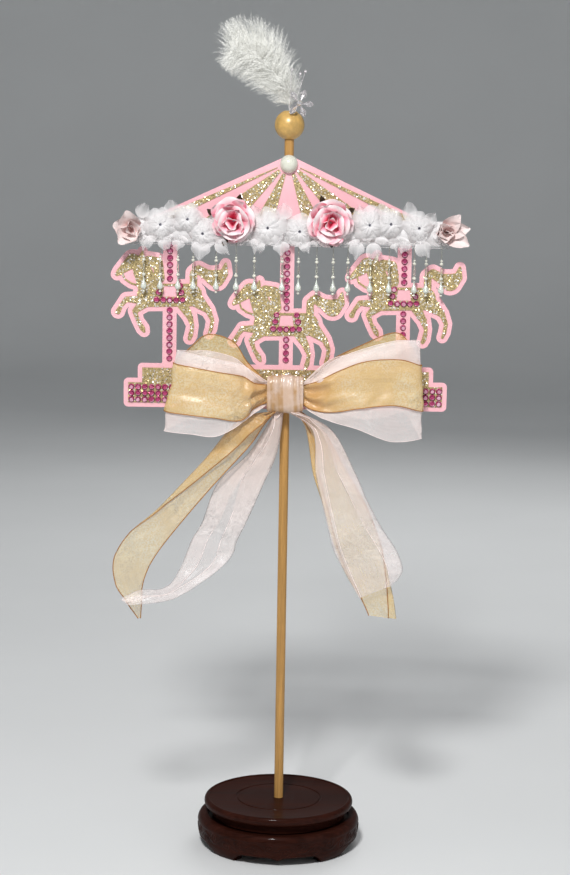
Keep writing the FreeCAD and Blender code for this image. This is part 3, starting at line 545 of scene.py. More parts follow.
def bush_brass():
    return plain_metal("turned brass", (0.72, 0.53, 0.25), 0.25, 0.4)


def leaf_bronze():
    return plain_metal("bronze leaf", (0.10, 0.075, 0.05), 0.3, 0.5)


def ribbon_wire():
    """Wire in a copper-coloured sleeve of thread."""
    return mottled("ribbon wire", shades(colours().wire, 0.85, 1.15), patches=300.0, tooth=3000.0,
                   rough=(0.45, 0.6), Metallic=0.2)


def glide_felt():
    return mottled("glide felt", ((0.03, 0.03, 0.03), (0.07, 0.07, 0.07)), patches=400.0, tooth=2500.0,
                   depth=0.2, Roughness=0.95, Sheen_Weight=0.3)


def clear_glue():
    return mottled("hot glue", ((0.80, 0.76, 0.68), (0.90, 0.87, 0.80)), patches=250.0, tooth=900.0,
                   depth=0.05, Roughness=0.3, Subsurface_Weight=0.3, Subsurface_Scale=2 * MM, Coat_Weight=0.3)


def pink_card():
    return mottled("pink card", shades(colours().card, 0.95, 1.03), patches=45.0, tooth=2600.0,
                   rough=(0.66, 0.78), depth=0.03, Roughness=0.72, Specular_IOR_Level=0.25)


def glitter_card():
    """The dark gold ground that shows between the flakes."""
    return mottled("glitter ground", shades(colours().glitter, 0.45, 1.0), patches=700.0, tooth=1800.0,
                   depth=0.25, Roughness=0.45, Metallic=0.4)


def glitter_flake():
    """Flakes, each with a shade drawn at random: dark olive flakes as painted shade, through gold, to pale
    champagne flakes as painted sparkle highlights.
    """
    f = Finish("glitter flake", Metallic=0.7, Roughness=0.24)
    shade = f.shade()
    # Darker and lighter copies of the glitter's gold: painted shade and painted light on the flakes
    gold = f.blend(f.spread(shade, 0, 1, 0.1, 0.6), *shades(colours().glitter, 0.42, 1.45))
    # The pale champagne is a painted sparkle highlight on the palest flakes
    f.colours(f.spread(shade, 0, 1, 0.6, 0.82), gold, (1.0, 0.93, 0.86))
    mask, height = f.use(mottle_effect, Vector=f.object, Scale=900.0, Tooth=4000.0)
    f.rough(mask, 0.16, 0.34)
    f.bump((height, 0.02 * MM))
    return f.material


def pink_stone():
    """Foil-backed facets from dark to pale pink by each facet's shade, which is painted shade and painted
    glints standing in for light on the facets, made a little uneven at random.
    """
    f = Finish("pink stone", Roughness=0.08, Metallic=0.3, Coat_Weight=0.4, Coat_Roughness=0.03)
    shade = f.shade()
    # Darker and lighter copies of the stone's pink: painted shade and painted light on the facets
    pink = f.blend(f.spread(shade, 0, 1, 0.05, 0.6), *shades(colours().stone, 0.3, 1.7))
    # The pale pink is a painted highlight on the brightest facets
    f.colours(f.spread(shade, 0, 1, 0.66, 1.0), pink, (0.98, 0.66, 0.80))
    mask, _ = f.use(mottle_effect, Vector=f.object, Scale=800.0, Tooth=3000.0)
    f.rough(mask, 0.05, 0.12)
    return f.material


def clear_crystal():
    return mottled("clear crystal", ((0.94, 0.88, 0.90), (0.98, 0.97, 0.98)), patches=260.0, tooth=2000.0,
                   Roughness=0.03, Transmission_Weight=0.8, IOR=1.6, Coat_Weight=1.0, Coat_Roughness=0.02)


def foiled_gem():
    return mottled("foiled gem", ((0.10, 0.10, 0.13), (0.45, 0.45, 0.52)), patches=700.0, tooth=2000.0,
                   rough=(0.08, 0.16), Metallic=0.85, Coat_Weight=0.8)


def clear_bead():
    return mottled("clear bead", ((0.74, 0.74, 0.64), (0.90, 0.90, 0.84)), patches=700.0, tooth=2000.0,
                   Roughness=0.1, Transmission_Weight=0.85, IOR=1.4, Coat_Weight=0.4)


def milky_drop():
    return mottled("milky drop", shades(colours().drop, 0.92, 1.08), patches=180.0, tooth=2000.0,
                   rough=(0.10, 0.2), Roughness=0.14, Transmission_Weight=0.2, Coat_Weight=0.7,
                   Coat_Roughness=0.05)


def pearl():
    return mottled("pearl lustre", shades(colours().pearl, 0.93, 1.06), patches=260.0, tooth=1800.0,
                   rough=(0.14, 0.24), depth=0.008, Roughness=0.2, Coat_Weight=0.6, Coat_Roughness=0.1,
                   Sheen_Weight=0.1)


def cloth(name, foot, stops, rough, sheen):
    """Cloth of a petal, from the colour of its foot through stops towards its rim.

    A stop holds the shades at which its colour starts and is reached, and the colour."""
    f = Finish(name, Roughness=rough, Sheen_Weight=sheen)
    slubs, weave = f.use(weave_effect, Vector=f.flat, Threads=2000.0)
    patches, crinkle = f.use(crinkle_effect, Vector=f.object, Scale=90.0)
    ground = foot
    for start, end, rgb in stops:
        ground = f.blend(f.spread(f.shade(), 0.0, 1.0, start, end), ground, rgb)
    # Crowded creases lightened a little past the rim colour: a painted highlight on the crinkles
    f.colours(f.spread(patches, 0.0, 0.1), ground, times(stops[-1][2], 1.04))
    f.rough(slubs, rough - 0.06, rough + 0.06)
    f.bump((crinkle, 0.1 * MM), (weave, 0.015 * MM))
    return f


def rose_satin():
    stops = ((0.30, 0.58, colours().rose), (0.62, 0.90, colours().rose_rim))
    return cloth("rose satin", colours().rose_deep, stops, rough=0.5, sheen=0.35).material


def blossom_satin():
    foot = tuple(a * b for a, b in zip(colours().blossom, (0.98, 0.78, 0.77)))
    return cloth("blossom satin", foot, ((0.1, 0.6, colours().blossom),), rough=0.5, sheen=0.25).material


def organza(name, rough, sheen, cover):
    """White cloth that lets light through. cover lays how much it covers over the shade from foot to rim."""
    rgb = colours().organza
    f = cloth(name, times(rgb, 0.98), ((0.0, 1.0, rgb),), rough, sheen)
    f.feed("Alpha", f.spread(f.shade(), *cover))
    return f.material


def white_organza():
    """White cloth that thins towards a petal's rim."""
    return organza("white organza", rough=0.6, sheen=0.3, cover=(0.9, 0.5, 0.25, 1.0))


def sheer_organza():
    """One layer of white organza, denser where it is gathered at the foot."""
    return organza("sheer organza", rough=0.5, sheen=0.2, cover=(0.7, 0.36, 0.1, 0.7))


def white_tape():
    f = Finish("fringe tape", Roughness=0.75, Sheen_Weight=0.2)
    slubs, weave = f.use(weave_effect, Vector=f.flat, Threads=900.0)
    f.colours(slubs, *shades(colours().organza, 0.7, 0.9))
    f.feed("Alpha", f.spread(weave, 0.22, 0.5))
    f.bump((weave, 0.15 * MM))
    return f.material


def sheer_ribbon(name, rgb, gathered, painted_glint, cover):
    """Sheer ribbon with painted shimmer highlights in clouds and painted glints on its crowded creases, and a
    deeper colour where it is gathered: partly the denser cloth, partly painted shade in the folds.

    The weave sets how much it covers, and a gather or a crease covers more."""
    f = Finish(name, Roughness=0.3, Sheen_Weight=0.2, Specular_IOR_Level=0.9)
    slubs, weave = f.use(weave_effect, Vector=f.flat, Threads=1100.0)
    creases, crinkle = f.use(crinkle_effect, Vector=f.object, Scale=60.0)
    broad, _ = f.use(mottle_effect, Vector=f.object, Scale=34.0, Tooth=2000.0)
    fine, tooth = f.use(mottle_effect, Vector=f.object, Scale=680.0, Tooth=1500.0)
    # Mask of clouds where painted shimmer highlights stand in for light glancing off the sheer cloth
    painted_shimmer = f.part(f.spread(broad, 0.15, 1.0, 0.3, 0.75), f.spread(fine, 0.1, 1.0, 0.35, 0.7))
    ground = f.blend(slubs, *shades(rgb, 0.98, 1.02))
    # Painted shimmer: the colour taken towards the painted glint colour in those clouds
    ground = f.blend(painted_shimmer, ground, towards(rgb, painted_glint, 0.65))
    # Deeper colour where gathered: partly the denser cloth, partly painted shade in the folds
    ground = f.blend(f.part(f.shade(), 0.8), ground, gathered)
    # Crowded creases lightened towards the glint colour: painted glints on the creases
    f.colours(f.spread(creases, 0.0, 0.3), ground, towards(rgb, painted_glint, 0.8))
    covered = maths(f.tree, "ADD", f.spread(slubs, cover - 0.015, cover + 0.015), f.part(f.shade(), 0.22))
    f.feed("Alpha", maths(f.tree, "ADD", covered, f.part(creases, 0.08)))
    f.rough(painted_shimmer, 0.4, 0.16)
    f.bump((crinkle, 1.8 * MM), (fine, 0.15 * MM), (tooth, 0.06 * MM), (weave, 0.02 * MM))
    return f.material


def gold_ribbon(name, cover):
    # The deeper colour is painted shade for the gathered folds, partly the denser cloth, and the pale one is
    # the painted glint colour
    return sheer_ribbon(name, colours().gold_ribbon, (0.64, 0.30, 0.07), (1.0, 0.90, 0.60), cover)


def gold_organza():
    return gold_ribbon("gold organza", cover=0.55)


def gold_gauze():
    """The gold ribbon where it hangs free and lets more light through."""
    return gold_ribbon("gold gauze", cover=0.42)


def ivory_ribbon(name, cover):
    # The deeper colour is painted shade for the gathered folds, partly the denser cloth, and the pale one is
    # the painted glint colour
    return sheer_ribbon(name, colours().ivory_ribbon, (0.92, 0.72, 0.62), (1.0, 0.97, 0.95), cover)


def ivory_organza():
    return ivory_ribbon("ivory organza", cover=0.52)


def ivory_gauze():
    """The ivory ribbon where it hangs free and lets more light through."""
    return ivory_ribbon("ivory gauze", cover=0.28)


def ivory_thread():
    """The woven edge of the ivory ribbon."""
    return mottled("ivory thread", shades(colours().ivory_ribbon, 0.9, 1.03), patches=300.0, tooth=3000.0,
                   Roughness=0.5, Sheen_Weight=0.2)


def knot_organza():
    """Ivory wound over gold: the shade runs from 0 where gold shows to 1 under the ivory."""
    f = Finish("knot organza", Roughness=0.34, Sheen_Weight=0.2, Specular_IOR_Level=0.6)
    _, crinkle = f.use(crinkle_effect, Vector=f.object, Scale=80.0)
    painted_shimmer, _ = f.use(mottle_effect, Vector=f.object, Scale=110.0, Tooth=2000.0)
    ivory = colours().ivory_ribbon
    ground = f.blend(f.part(f.shade(), 0.45), colours().knot, ivory)
    # Lighter ivory patches where the painted shimmer mask is high: painted sheen
    f.colours(f.spread(painted_shimmer, 0.0, 0.3, 0.4, 0.9), ground, times(ivory, 0.9))
    f.rough(painted_shimmer, 0.42, 0.24)
    f.bump((crinkle, 2.0 * MM))
    return f.material


def down():
    return mottled("down", shades(colours().feather, 0.97, 1.01), patches=120.0, tooth=1500.0, Roughness=0.85,
                   Sheen_Weight=0.9, Alpha=0.6)


def pale_sweep():
    return mottled("pale sweep", ((0.74, 0.75, 0.75), (0.78, 0.79, 0.79)), patches=2.0, tooth=300.0,
                   Roughness=0.85, Specular_IOR_Level=0.2)


# Geometry node trees

FULL_TURN = 6.283
FLAKE_CROWD = 3.0e6


def growth_tree(name, **values):
    """An empty tree of geometry nodes that grows copies of a template, with named values as inputs."""
    tree = bpy.data.node_groups.new(name, "GeometryNodeTree")
    for socket, kind in (("Geometry", GEOMETRY), ("Template", OBJECT), ("Material", MATERIAL)):
        tree.interface.new_socket(name=socket, in_out="INPUT", socket_type=kind)
    for socket, value in dict(values, Seed=1).items():
        kind = INTEGER if isinstance(value, int) else FLOAT
        tree.interface.new_socket(name=socket, in_out="INPUT", socket_type=kind).default_value = value
    tree.interface.new_socket(name="Geometry", in_out="OUTPUT", socket_type=GEOMETRY)
    return tree, tree.nodes.new("NodeGroupInput").outputs, tree.nodes.new("NodeGroupOutput")


def close_tree(tree, geometry, given, result):
    """Ends a tree in real faces with the given material."""
    real = node(tree, "GeometryNodeRealizeInstances", {0: geometry}).outputs[0]
    coated = node(tree, "GeometryNodeSetMaterial", {"Geometry": real, "Material": given["Material"]})
    tree.links.new(coated.outputs[0], result.inputs[0])
    return tree


def grown(name, source, make, template, **inputs):
    """The plain mesh that a tree grows on a source mesh, with copies of a template mesh."""
    scene, tree = bpy.context.scene, once(make)
    base = bpy.data.objects.new(name + "_base", source)
    copied = bpy.data.objects.new(name + "_template", template)
    for made in (base, copied):
        scene.collection.objects.link(made)
    modifier = base.modifiers.new("grow", "NODES")
    modifier.node_group = tree
    identifiers = {s.name: s.identifier for s in tree.interface.items_tree if s.in_out == "INPUT"}
    for key, value in dict(inputs, Template=copied).items():
        modifier[identifiers[key]] = value
    depsgraph = bpy.context.evaluated_depsgraph_get()
    mesh = bpy.data.meshes.new_from_object(base.evaluated_get(depsgraph), preserve_all_data_layers=True,
                                           depsgraph=depsgraph)
    base.modifiers.remove(modifier)
    for made in (base, copied):
        bpy.data.objects.remove(made)
    mesh.name = name
    return mesh


def random_value(tree, kind, low, high, seed):
    made = node(tree, "FunctionNodeRandomValue", data_type=kind)
    names = [s for s in made.inputs if s.enabled and s.name in ("Min", "Max")]
    names[0].default_value = low
    names[1].default_value = high
    tree.links.new(seed, next(s for s in made.inputs if s.name == "Seed"))
    return next(s for s in made.outputs if s.enabled)


def rotation(tree, angles):
    return node(tree, "FunctionNodeEulerToRotation", {0: angles}).outputs[0]


def turned_again(tree, first, second):
    """A rotation followed by another about its own axes."""
    return node(tree, "FunctionNodeRotateRotation", {0: first, 1: second}, rotation_space="LOCAL").outputs[0]


def copies(tree, given, points, turn, size):
    """Copies of the tree's template on points."""
    template = node(tree, "GeometryNodeObjectInfo", {0: given["Template"]}).outputs["Geometry"]
    inputs = {"Points": points, "Instance": template, "Rotation": turn, "Scale": size}
    return node(tree, "GeometryNodeInstanceOnPoints", inputs).outputs[0]


def with_shade(tree, geometry, shade, domain):
    """Geometry that keeps a shade on each of its parts of one kind."""
    kept = node(tree, "GeometryNodeStoreNamedAttribute", {"Geometry": geometry, "Name": "shade"},
                data_type="FLOAT", domain=domain)
    tree.links.new(shade, next(s for s in kept.inputs if s.name == "Value" and s.enabled))
    return kept.outputs[0]


def flake_tree():
    """Flat flakes scattered over the faces that look forward, each tipped its own way."""
    tree, given, result = growth_tree("glitter flakes", Gap=0.6 * MM, Flake=1.0 * MM, Tip=0.5)
    seed = given["Seed"]
    normal = node(tree, "ShaderNodeSeparateXYZ", {0: node(tree, "GeometryNodeInputNormal").outputs[0]})
    forward = node(tree, "FunctionNodeCompare", {0: normal.outputs[1], 1: -0.9}, operation="LESS_THAN")
    inputs = {"Mesh": given["Geometry"], "Selection": forward.outputs[0], "Distance Min": given["Gap"],
              "Density Max": FLAKE_CROWD, "Seed": seed}
    scatter = node(tree, "GeometryNodeDistributePointsOnFaces", inputs, distribute_method="POISSON").outputs
    tips = random_value(tree, "FLOAT_VECTOR", (-1, -1, -6), (1, 1, 6), seed)
    tipped = rotation(tree, vectors(tree, "SCALE", tips, given["Tip"]))
    size = maths(tree, "MULTIPLY", random_value(tree, "FLOAT", 0.65, 1.25, seed), given["Flake"])
    flakes = copies(tree, given, scatter["Points"], turned_again(tree, scatter["Rotation"], tipped), size)
    shaded = with_shade(tree, flakes, random_value(tree, "FLOAT", 0, 1, seed), "INSTANCE")
    return close_tree(tree, shaded, given, result)


def stone_tree():
    """Stones set on points, each turned about its own axis, with the painted light on each facet made a
    little uneven at random.
    """
    tree, given, result = growth_tree("set stones", Unevenness=0.04)
    seed = given["Seed"]
    spin = random_value(tree, "FLOAT_VECTOR", (0, -STONE_TURN, 0), (0, STONE_TURN, 0), seed)
    grow = maths(tree, "MULTIPLY", random_value(tree, "FLOAT", -1, 1, seed), given["Unevenness"])
    stones = copies(tree, given, given["Geometry"], rotation(tree, spin), maths(tree, "ADD", grow, 1.0))
    real = node(tree, "GeometryNodeRealizeInstances", {0: stones}).outputs[0]
    tone = node(tree, "GeometryNodeInputNamedAttribute", {"Name": "tone"}, data_type="FLOAT")
    shade = maths(tree, "ADD", tone.outputs["Attribute"], random_value(tree, "FLOAT", -0.25, 0.25, seed))
    return close_tree(tree, with_shade(tree, real, shade, "FACE"), given, result)


def plume_tree():
    """Barbs along a spine, leaning towards its tip and fanned flat, then stirred by a soft noise."""
    tree, given, result = growth_tree("plume", Barbs=500, Length=0.03, Flatness=0.4, Stir=0.006)
    seed = given["Seed"]
    curve = node(tree, "GeometryNodeMeshToCurve", {0: given["Geometry"]}).outputs[0]
    spine = node(tree, "GeometryNodeResampleCurve", {"Curve": curve, "Count": given["Barbs"]}).outputs[0]
    tangent = node(tree, "GeometryNodeInputTangent").outputs[0]
    side = vectors(tree, "CROSS_PRODUCT", tangent, FACING)
    bearing = random_value(tree, "FLOAT", 0, FULL_TURN, seed)
    sideways = vectors(tree, "SCALE", side, maths(tree, "COSINE", bearing))
    deep = maths(tree, "MULTIPLY", maths(tree, "SINE", bearing), given["Flatness"])
    outward = vectors(tree, "ADD", sideways, vectors(tree, "SCALE", FACING, deep))
    ahead = vectors(tree, "SCALE", tangent, random_value(tree, "FLOAT", 0.05, 1.0, seed))
    way = vectors(tree, "ADD", outward, ahead)
    aimed = node(tree, "FunctionNodeAlignRotationToVector", {"Vector": way}, axis="Z").outputs[0]
    spin = rotation(tree, random_value(tree, "FLOAT_VECTOR", (0, 0, 0), (0, 0, FULL_TURN), seed))
    share = node(tree, "GeometryNodeSplineParameter").outputs["Factor"]
    swell = maths(tree, "POWER", maths(tree, "SINE", spread_between(tree, share, 0.35, 2.5)), 0.7)
    uneven = maths(tree, "MULTIPLY", swell, random_value(tree, "FLOAT", 0.45, 1.0, seed))
    size = maths(tree, "MULTIPLY", uneven, given["Length"])
    barbs = copies(tree, given, spine, turned_again(tree, aimed, spin), size)
    real = node(tree, "GeometryNodeRealizeInstances", {0: barbs}).outputs[0]
    place = node(tree, "GeometryNodeInputPosition").outputs[0]
    wind = node(tree, "ShaderNodeTexNoise", {"Vector": place, "Scale": 55.0, "Detail": 1.0})
    level = vectors(tree, "SUBTRACT", wind.outputs["Color"], (0.5, 0.5, 0.5))
    push = vectors(tree, "SCALE", level, given["Stir"])
    stirred = node(tree, "GeometryNodeSetPosition", {"Geometry": real, "Offset": push}).outputs[0]
    return close_tree(tree, stirred, given, result)


def bare_mesh(name, points, faces=(), edges=()):
    mesh = bpy.data.meshes.new(name)
    mesh.from_pydata(points, edges, faces)
    return mesh


# Stage

SWEEP_FLAT = 3.6
SWEEP_CURVE = 0.9
SWEEP_HEIGHT = 4.2
CAMERA_PLACE = (0.0005, -1.771, 0.618)
CAMERA_DOWN = 8.2
CAMERA_ROLL = 0.95
LAMPS = {
    "key": ((-0.28, -1.5, 1.75), 0.3, 38.5),
    "fill": ((1.6, -1.3, 0.8), 1.6, 4.5),
    "back": ((0.5, 1.7, 1.5), 1.4, 14.0),
}
LAMP_AIM = Vector((0, 0, 0.42))
LENS, SENSOR = 85, 36
ROOM_COLOUR, ROOM_STRENGTH = (0.93, 0.96, 1.0, 1), 0.22


def set_floor():
    bend = spaced(0, math.pi / 2, 12)
    curve = [(SWEEP_FLAT + SWEEP_CURVE * math.sin(a), SWEEP_CURVE * (1 - math.cos(a))) for a in bend]
    shape = Shape()
    shape.turned([(0, 0)] + curve + [(SWEEP_FLAT + SWEEP_CURVE, SWEEP_HEIGHT)], 96)
    floor = bpy.data.objects.new("floor_sweep", shape.mesh("floor_sweep"))
    floor.data.materials.append(once(pale_sweep))
    bpy.context.scene.collection.objects.link(floor)


def set_lamps():
    for name, (place, width, power) in LAMPS.items():
        light = bpy.data.lights.new(name, "AREA")
        light.energy, light.size = power, width
        lamp = bpy.data.objects.new(name, light)
        lamp.location = place
        lamp.rotation_euler = (LAMP_AIM - Vector(place)).to_track_quat("-Z", "Y").to_euler()
        lamp.visible_camera = False
        lamp.visible_glossy = name != "back"
        bpy.context.scene.collection.objects.link(lamp)
    world = bpy.data.worlds.new("soft room")
    world.use_nodes = True
    world.node_tree.nodes["Background"].inputs["Color"].default_value = ROOM_COLOUR
    world.node_tree.nodes["Background"].inputs["Strength"].default_value = ROOM_STRENGTH
    bpy.context.scene.world = world
    bpy.context.scene.view_settings.view_transform = "Standard"


def set_camera():
    lens = bpy.data.cameras.new("camera")
    lens.lens, lens.sensor_width = LENS, SENSOR
    camera = bpy.data.objects.new("camera", lens)
    tilt = Matrix.Rotation(math.radians(90 - CAMERA_DOWN), 4, "X")
    roll = Matrix.Rotation(math.radians(CAMERA_ROLL), 4, "Z")
    camera.matrix_world = Matrix.Translation(CAMERA_PLACE) @ tilt @ roll
    bpy.context.scene.collection.objects.link(camera)
    bpy.context.scene.camera = camera


# Stand

# Stand sizes are in millimetres, and an outline holds radius and height
BASE_OUTLINE = ((66.0, 0.0), (68.5, 3.6), (70.2, 8.5), (71.2, 13.5), (71.6, 18.9), (71.2, 22.5), (70.2, 25.0),
                (69.0, 26.4), (67.6, 27.0))
UNDERSIDE = 9.0
HOLLOW_RADIUS = 56.0
RECESS_RADIUS, RECESS_TOP = 10.0, 11.0
WELL_RADIUS = 62.5
WELL_FLOOR = 24.0
ARCH_HALF = 36.9
ARCH_CROWN = 8.0
ARCH_SHOULDER = 9.2
ARCH_FOOT = 2.8
PENDANT_DROP, PENDANT_CURVE = 2.5, 1.6
ARRIS_IN, ARRIS_UP, WELL_BEVEL = 0.6, 0.4, 0.5
CARVED_LOW, CARVED_HIGH, CARVED_FADE = 9.0, 21.5, 1.2
VINE_LEVEL, VINE_SWING, VINE_WIDTH = 15.2, 3.0, 0.9
VINE_WAVES = 16
CURL_RADIUS = 5.4
CURL_PITCH = 2.7
CURL_SHIFT = 1.6
BASE_SEGMENTS, CARVING_STEPS = 900, 48
NECK_RADIUS, NECK_BOTTOM = 59.0, 26.5
DISC_RADIUS, DISC_BOTTOM, DISC_TOP, DISC_FACE = 65.7, 34.0, 41.5, 40.5
NOSE_DEPTH, COVE = 2.6, 3
LIP_RADIUS, LIP_OUT = 62.0, 0.5
LIP_CURVE = ((-1.4, 0), (-0.6, 0.25), (0, 0.75))
GROOVE_RADIUS, GROOVE_HALF, GROOVE_DEPTH = 37.0, 1.1, 0.8
SOCKET_FLOOR, SOCKET_RADIUS, SOCKET_BEVEL = 28.5, 4.02, 0.3
FELT_BORE, FELT_SOFT = 38.0, 0.5


def arch_height(angle):
    """Height of the apron's lower edge at an angle round the stand, in millimetres: 0 at the feet."""
    folded = (angle + math.pi / 4) % (math.pi / 2) - math.pi / 4
    across = abs(BASE_OUTLINE[0][0] * math.sin(folded))
    if across > ARCH_HALF:
        return 0
    if across > ARCH_HALF - ARCH_SHOULDER:
        rise = math.sin((ARCH_HALF - across) / ARCH_SHOULDER * math.pi / 2)
        return ARCH_FOOT + (ARCH_CROWN - ARCH_FOOT) * rise
    return ARCH_CROWN - PENDANT_DROP * max(0, 1 - across / ARCH_SHOULDER) ** PENDANT_CURVE


def scroll_relief(angle, height):
    """Relief of the carved band: 0 on its vine and outside it, down to -1 in its ground."""
    inside = ease(CARVED_LOW, CARVED_LOW + CARVED_FADE, height)
    inside *= 1 - ease(CARVED_HIGH - CARVED_FADE, CARVED_HIGH, height)
    waves = angle * VINE_WAVES / (2 * math.pi)
    stem = VINE_LEVEL + VINE_SWING * math.sin(2 * math.pi * waves)
    raised = math.exp(-((height - stem) / VINE_WIDTH) ** 2)
    pitch = 2 * math.pi * BASE_OUTLINE[4][0] / VINE_WAVES
    for k in (math.floor(2 * waves), math.floor(2 * waves) + 1):
        hand = 1 if k % 2 else -1
        across = (waves - k / 2 - 0.25) * pitch
        level = VINE_LEVEL + hand * CURL_SHIFT
        far = math.hypot(across, height - level)
        turn = math.atan2(height - level, across * hand) / (2 * math.pi)
        ridge = 0.5 + 0.5 * math.cos(2 * math.pi * (far / CURL_PITCH - turn))
        raised = max(raised, ridge * (1 - ease(CURL_RADIUS * 0.8, CURL_RADIUS, far)))
    return inside * (raised - 1)


def carved_base():
    outline = smooth([(r, z, 0) for r, z in BASE_OUTLINE], 80)
    top = outline[-1].y

    def radius_at(height):
        for near, far in zip(outline, outline[1:]):
            if far.y >= height:
                return near.x + (far.x - near.x) * (height - near.y) / max(1e-9, far.y - near.y)
        return outline[-1].x

    bore = node_size("base_bush").x / 2 / MM
    carving = sizes().carving / MM
    columns = []
    for angle in turns(BASE_SEGMENTS):
        edge = arch_height(angle)
        ring = [(bore, RECESS_TOP), (RECESS_RADIUS, RECESS_TOP), (RECESS_RADIUS, UNDERSIDE)]
        ring += [(HOLLOW_RADIUS, UNDERSIDE), (HOLLOW_RADIUS, edge), (radius_at(edge) - ARRIS_IN, edge)]
        for height in spaced(edge + ARRIS_UP, top, CARVING_STEPS):
            ring.append((radius_at(height) + carving * scroll_relief(angle, height), height))
        ring += [(WELL_RADIUS + WELL_BEVEL, top), (WELL_RADIUS, top - WELL_BEVEL), (WELL_RADIUS, WELL_FLOOR)]
        ring += [(bore, WELL_FLOOR), ring[0]]
        columns.append([Vector((r * math.cos(angle), r * math.sin(angle), z)) * MM for r, z in ring])
    shape = Shape()
    shape.sheet([list(row) for row in zip(*columns)], around=True)
    shaped_piece("carved_base", shape, [lacquered_wood], "dark_wood", ["stand_base"], "stand", closed=True,
                 angle=50)


def turned_disc():
    rise = (DISC_TOP - DISC_BOTTOM) / 2
    nose = [(DISC_RADIUS - NOSE_DEPTH + NOSE_DEPTH * math.cos(a), DISC_TOP - rise + rise * math.sin(a))
            for a in spaced(math.pi / 2, -math.pi / 2, 14)]
    cove = [(NECK_RADIUS + COVE - COVE * math.sin(a), DISC_BOTTOM - COVE + COVE * math.cos(a))
            for a in spaced(0, math.pi / 2, 6)]
    groove = [(GROOVE_RADIUS + GROOVE_HALF * math.cos(a), DISC_FACE - GROOVE_DEPTH * math.sin(a))
              for a in spaced(math.pi, 0, 8)]
    lip = [(LIP_RADIUS + out, DISC_FACE + up) for out, up in LIP_CURVE] + [(LIP_RADIUS + LIP_OUT, DISC_TOP)]
    profile = [(0, SOCKET_FLOOR), (SOCKET_RADIUS, SOCKET_FLOOR), (SOCKET_RADIUS, DISC_FACE - SOCKET_BEVEL),
               (SOCKET_RADIUS + SOCKET_BEVEL, DISC_FACE)]
    profile += groove + lip + nose + cove + [(NECK_RADIUS, NECK_BOTTOM), (0, NECK_BOTTOM)]
    shape = Shape()
    shape.turned([(r * MM, z * MM) for r, z in profile], 192)
    shaped_piece("turned_disc", shape, [lacquered_wood], "dark_wood", ["turntable_disc"], closed=True,
                 angle=40)


def felt_glide():
    low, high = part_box("glide_ring")
    outer, inner, soft = high.x, FELT_BORE * MM, FELT_SOFT * MM
    profile = [(inner, low.z + soft), (inner, high.z - soft), (inner + soft, high.z), (outer - soft, high.z),
               (outer, high.z - soft), (outer, low.z + soft), (outer - soft, low.z), (inner + soft, low.z),
               (inner, low.z + soft)]
    shape = Shape()
    shape.turned(profile, 120)
    felt = shaped_piece("felt_glide", shape, [glide_felt], "glide_felt", ["glide_ring"], "stand", closed=True)


# Dowel, ball and glue

# Sizes in millimetres
DOWEL_BEVEL = 0.35
BALL_CLEARANCE, MOUTH_BEVEL = 0.05, 0.3
GLUE_WIDE, GLUE_DEEP, GLUE_GAP = 3.0, 2.6, 0.02
# Where a seam's inner line and its foot stand, as shares of the dowel's radius
GLUE_INNER, GLUE_FOOT = 0.35, 0.62
# How far a seam swells, as a share of its size, and how closely its lumps follow each other
GLUE_SWELL, GLUE_LUMPS = 0.22, 90
GLUE_ROWS = 220


def round_dowel():
    low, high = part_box("dowel")
    radius, bevel = high.x, DOWEL_BEVEL * MM
    shape = Shape()
    shape.turned([(0, low.z), (radius - bevel, low.z), (radius, low.z + bevel), (radius, high.z - bevel),
                  (radius - bevel, high.z), (0, high.z)], 48)
    shaped_piece("round_dowel", shape, [dowel_wood], "dowel_wood", ["dowel"], closed=True, angle=40)


def painted_ball():
    middle, ball = node_middle("ball_finial"), node_size("ball_finial").x / 2
    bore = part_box("dowel")[1].x + BALL_CLEARANCE * MM
    start = math.asin((bore + MOUTH_BEVEL * MM) / ball)
    side = [(ball * math.sin(a), middle.z + ball * math.cos(a)) for a in spaced(start, math.pi - start, 40)]
    mouth = ball * math.cos(start) - MOUTH_BEVEL * MM
    wall = [(bore, middle.z - mouth), (bore, middle.z + mouth)]
    shape = Shape()
    shape.turned(side + wall + side[:1], 64)
    shaped_piece("painted_ball", shape, [gold_paint], "gold_paint", ["ball_finial"], closed=True, angle=40)


def glue_beads():
    """Two uneven seams of glue that fill the corners between the dowel and the back of the card."""
    low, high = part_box("glue_seams")
    radius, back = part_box("dowel")[1].x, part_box("backing_card")[1].y + GLUE_GAP * MM
    shape = Shape()
    for side in (-1, 1):
        lines = []
        for i, height in enumerate(spaced(low.z, high.z, GLUE_ROWS)):
            swell = 1 + GLUE_SWELL * noise.noise(Vector((height * GLUE_LUMPS, side * 3, 0)))
            size = MM * swell * end_fade(i / GLUE_ROWS)
            line = [Vector((side * radius * GLUE_INNER, back, height))]
            for turn in spaced(0, math.pi / 2, 8):
                out = side * (radius * GLUE_FOOT + GLUE_WIDE * size * math.cos(turn))
                line.append(Vector((out, back + GLUE_DEEP * size * math.sin(turn), height)))
            lines.append(line)
        shape.sheet(lines, around=True)
    shaped_piece("glue_beads", shape, [clear_glue], "clear_glue", ["glue_seams"], closed=True)


# Card, glitter, pearl and stones

GLITTERED = ("roof_stripes", "horse_left", "horse_center", "horse_right", "platform_glitter")
# The furthest that a flake's corner sinks behind the glitter's front
FLAKE_SINK = 0.02 * MM


def glitter_flakes():
    corners = [(math.cos(a) / 2, math.sin(a) / 2, 0) for a in turns(6)]
    for seed, name in enumerate(GLITTERED):
        flake = bare_mesh("flake", corners, [tuple(range(6))])
        mesh = grown(name + "_flakes", NODES[name].data.copy(), flake_tree, flake, Gap=sizes().flake_gap,
                     Flake=sizes().flake, Seed=seed + 1, Material=once(glitter_flake))
        for point in mesh.vertices:
            point.co.y = min(point.co.y, GLITTER_FRONT + FLAKE_SINK)
        piece(name + "_flakes", mesh, [glitter_flake])
        dress(name, glitter_card)


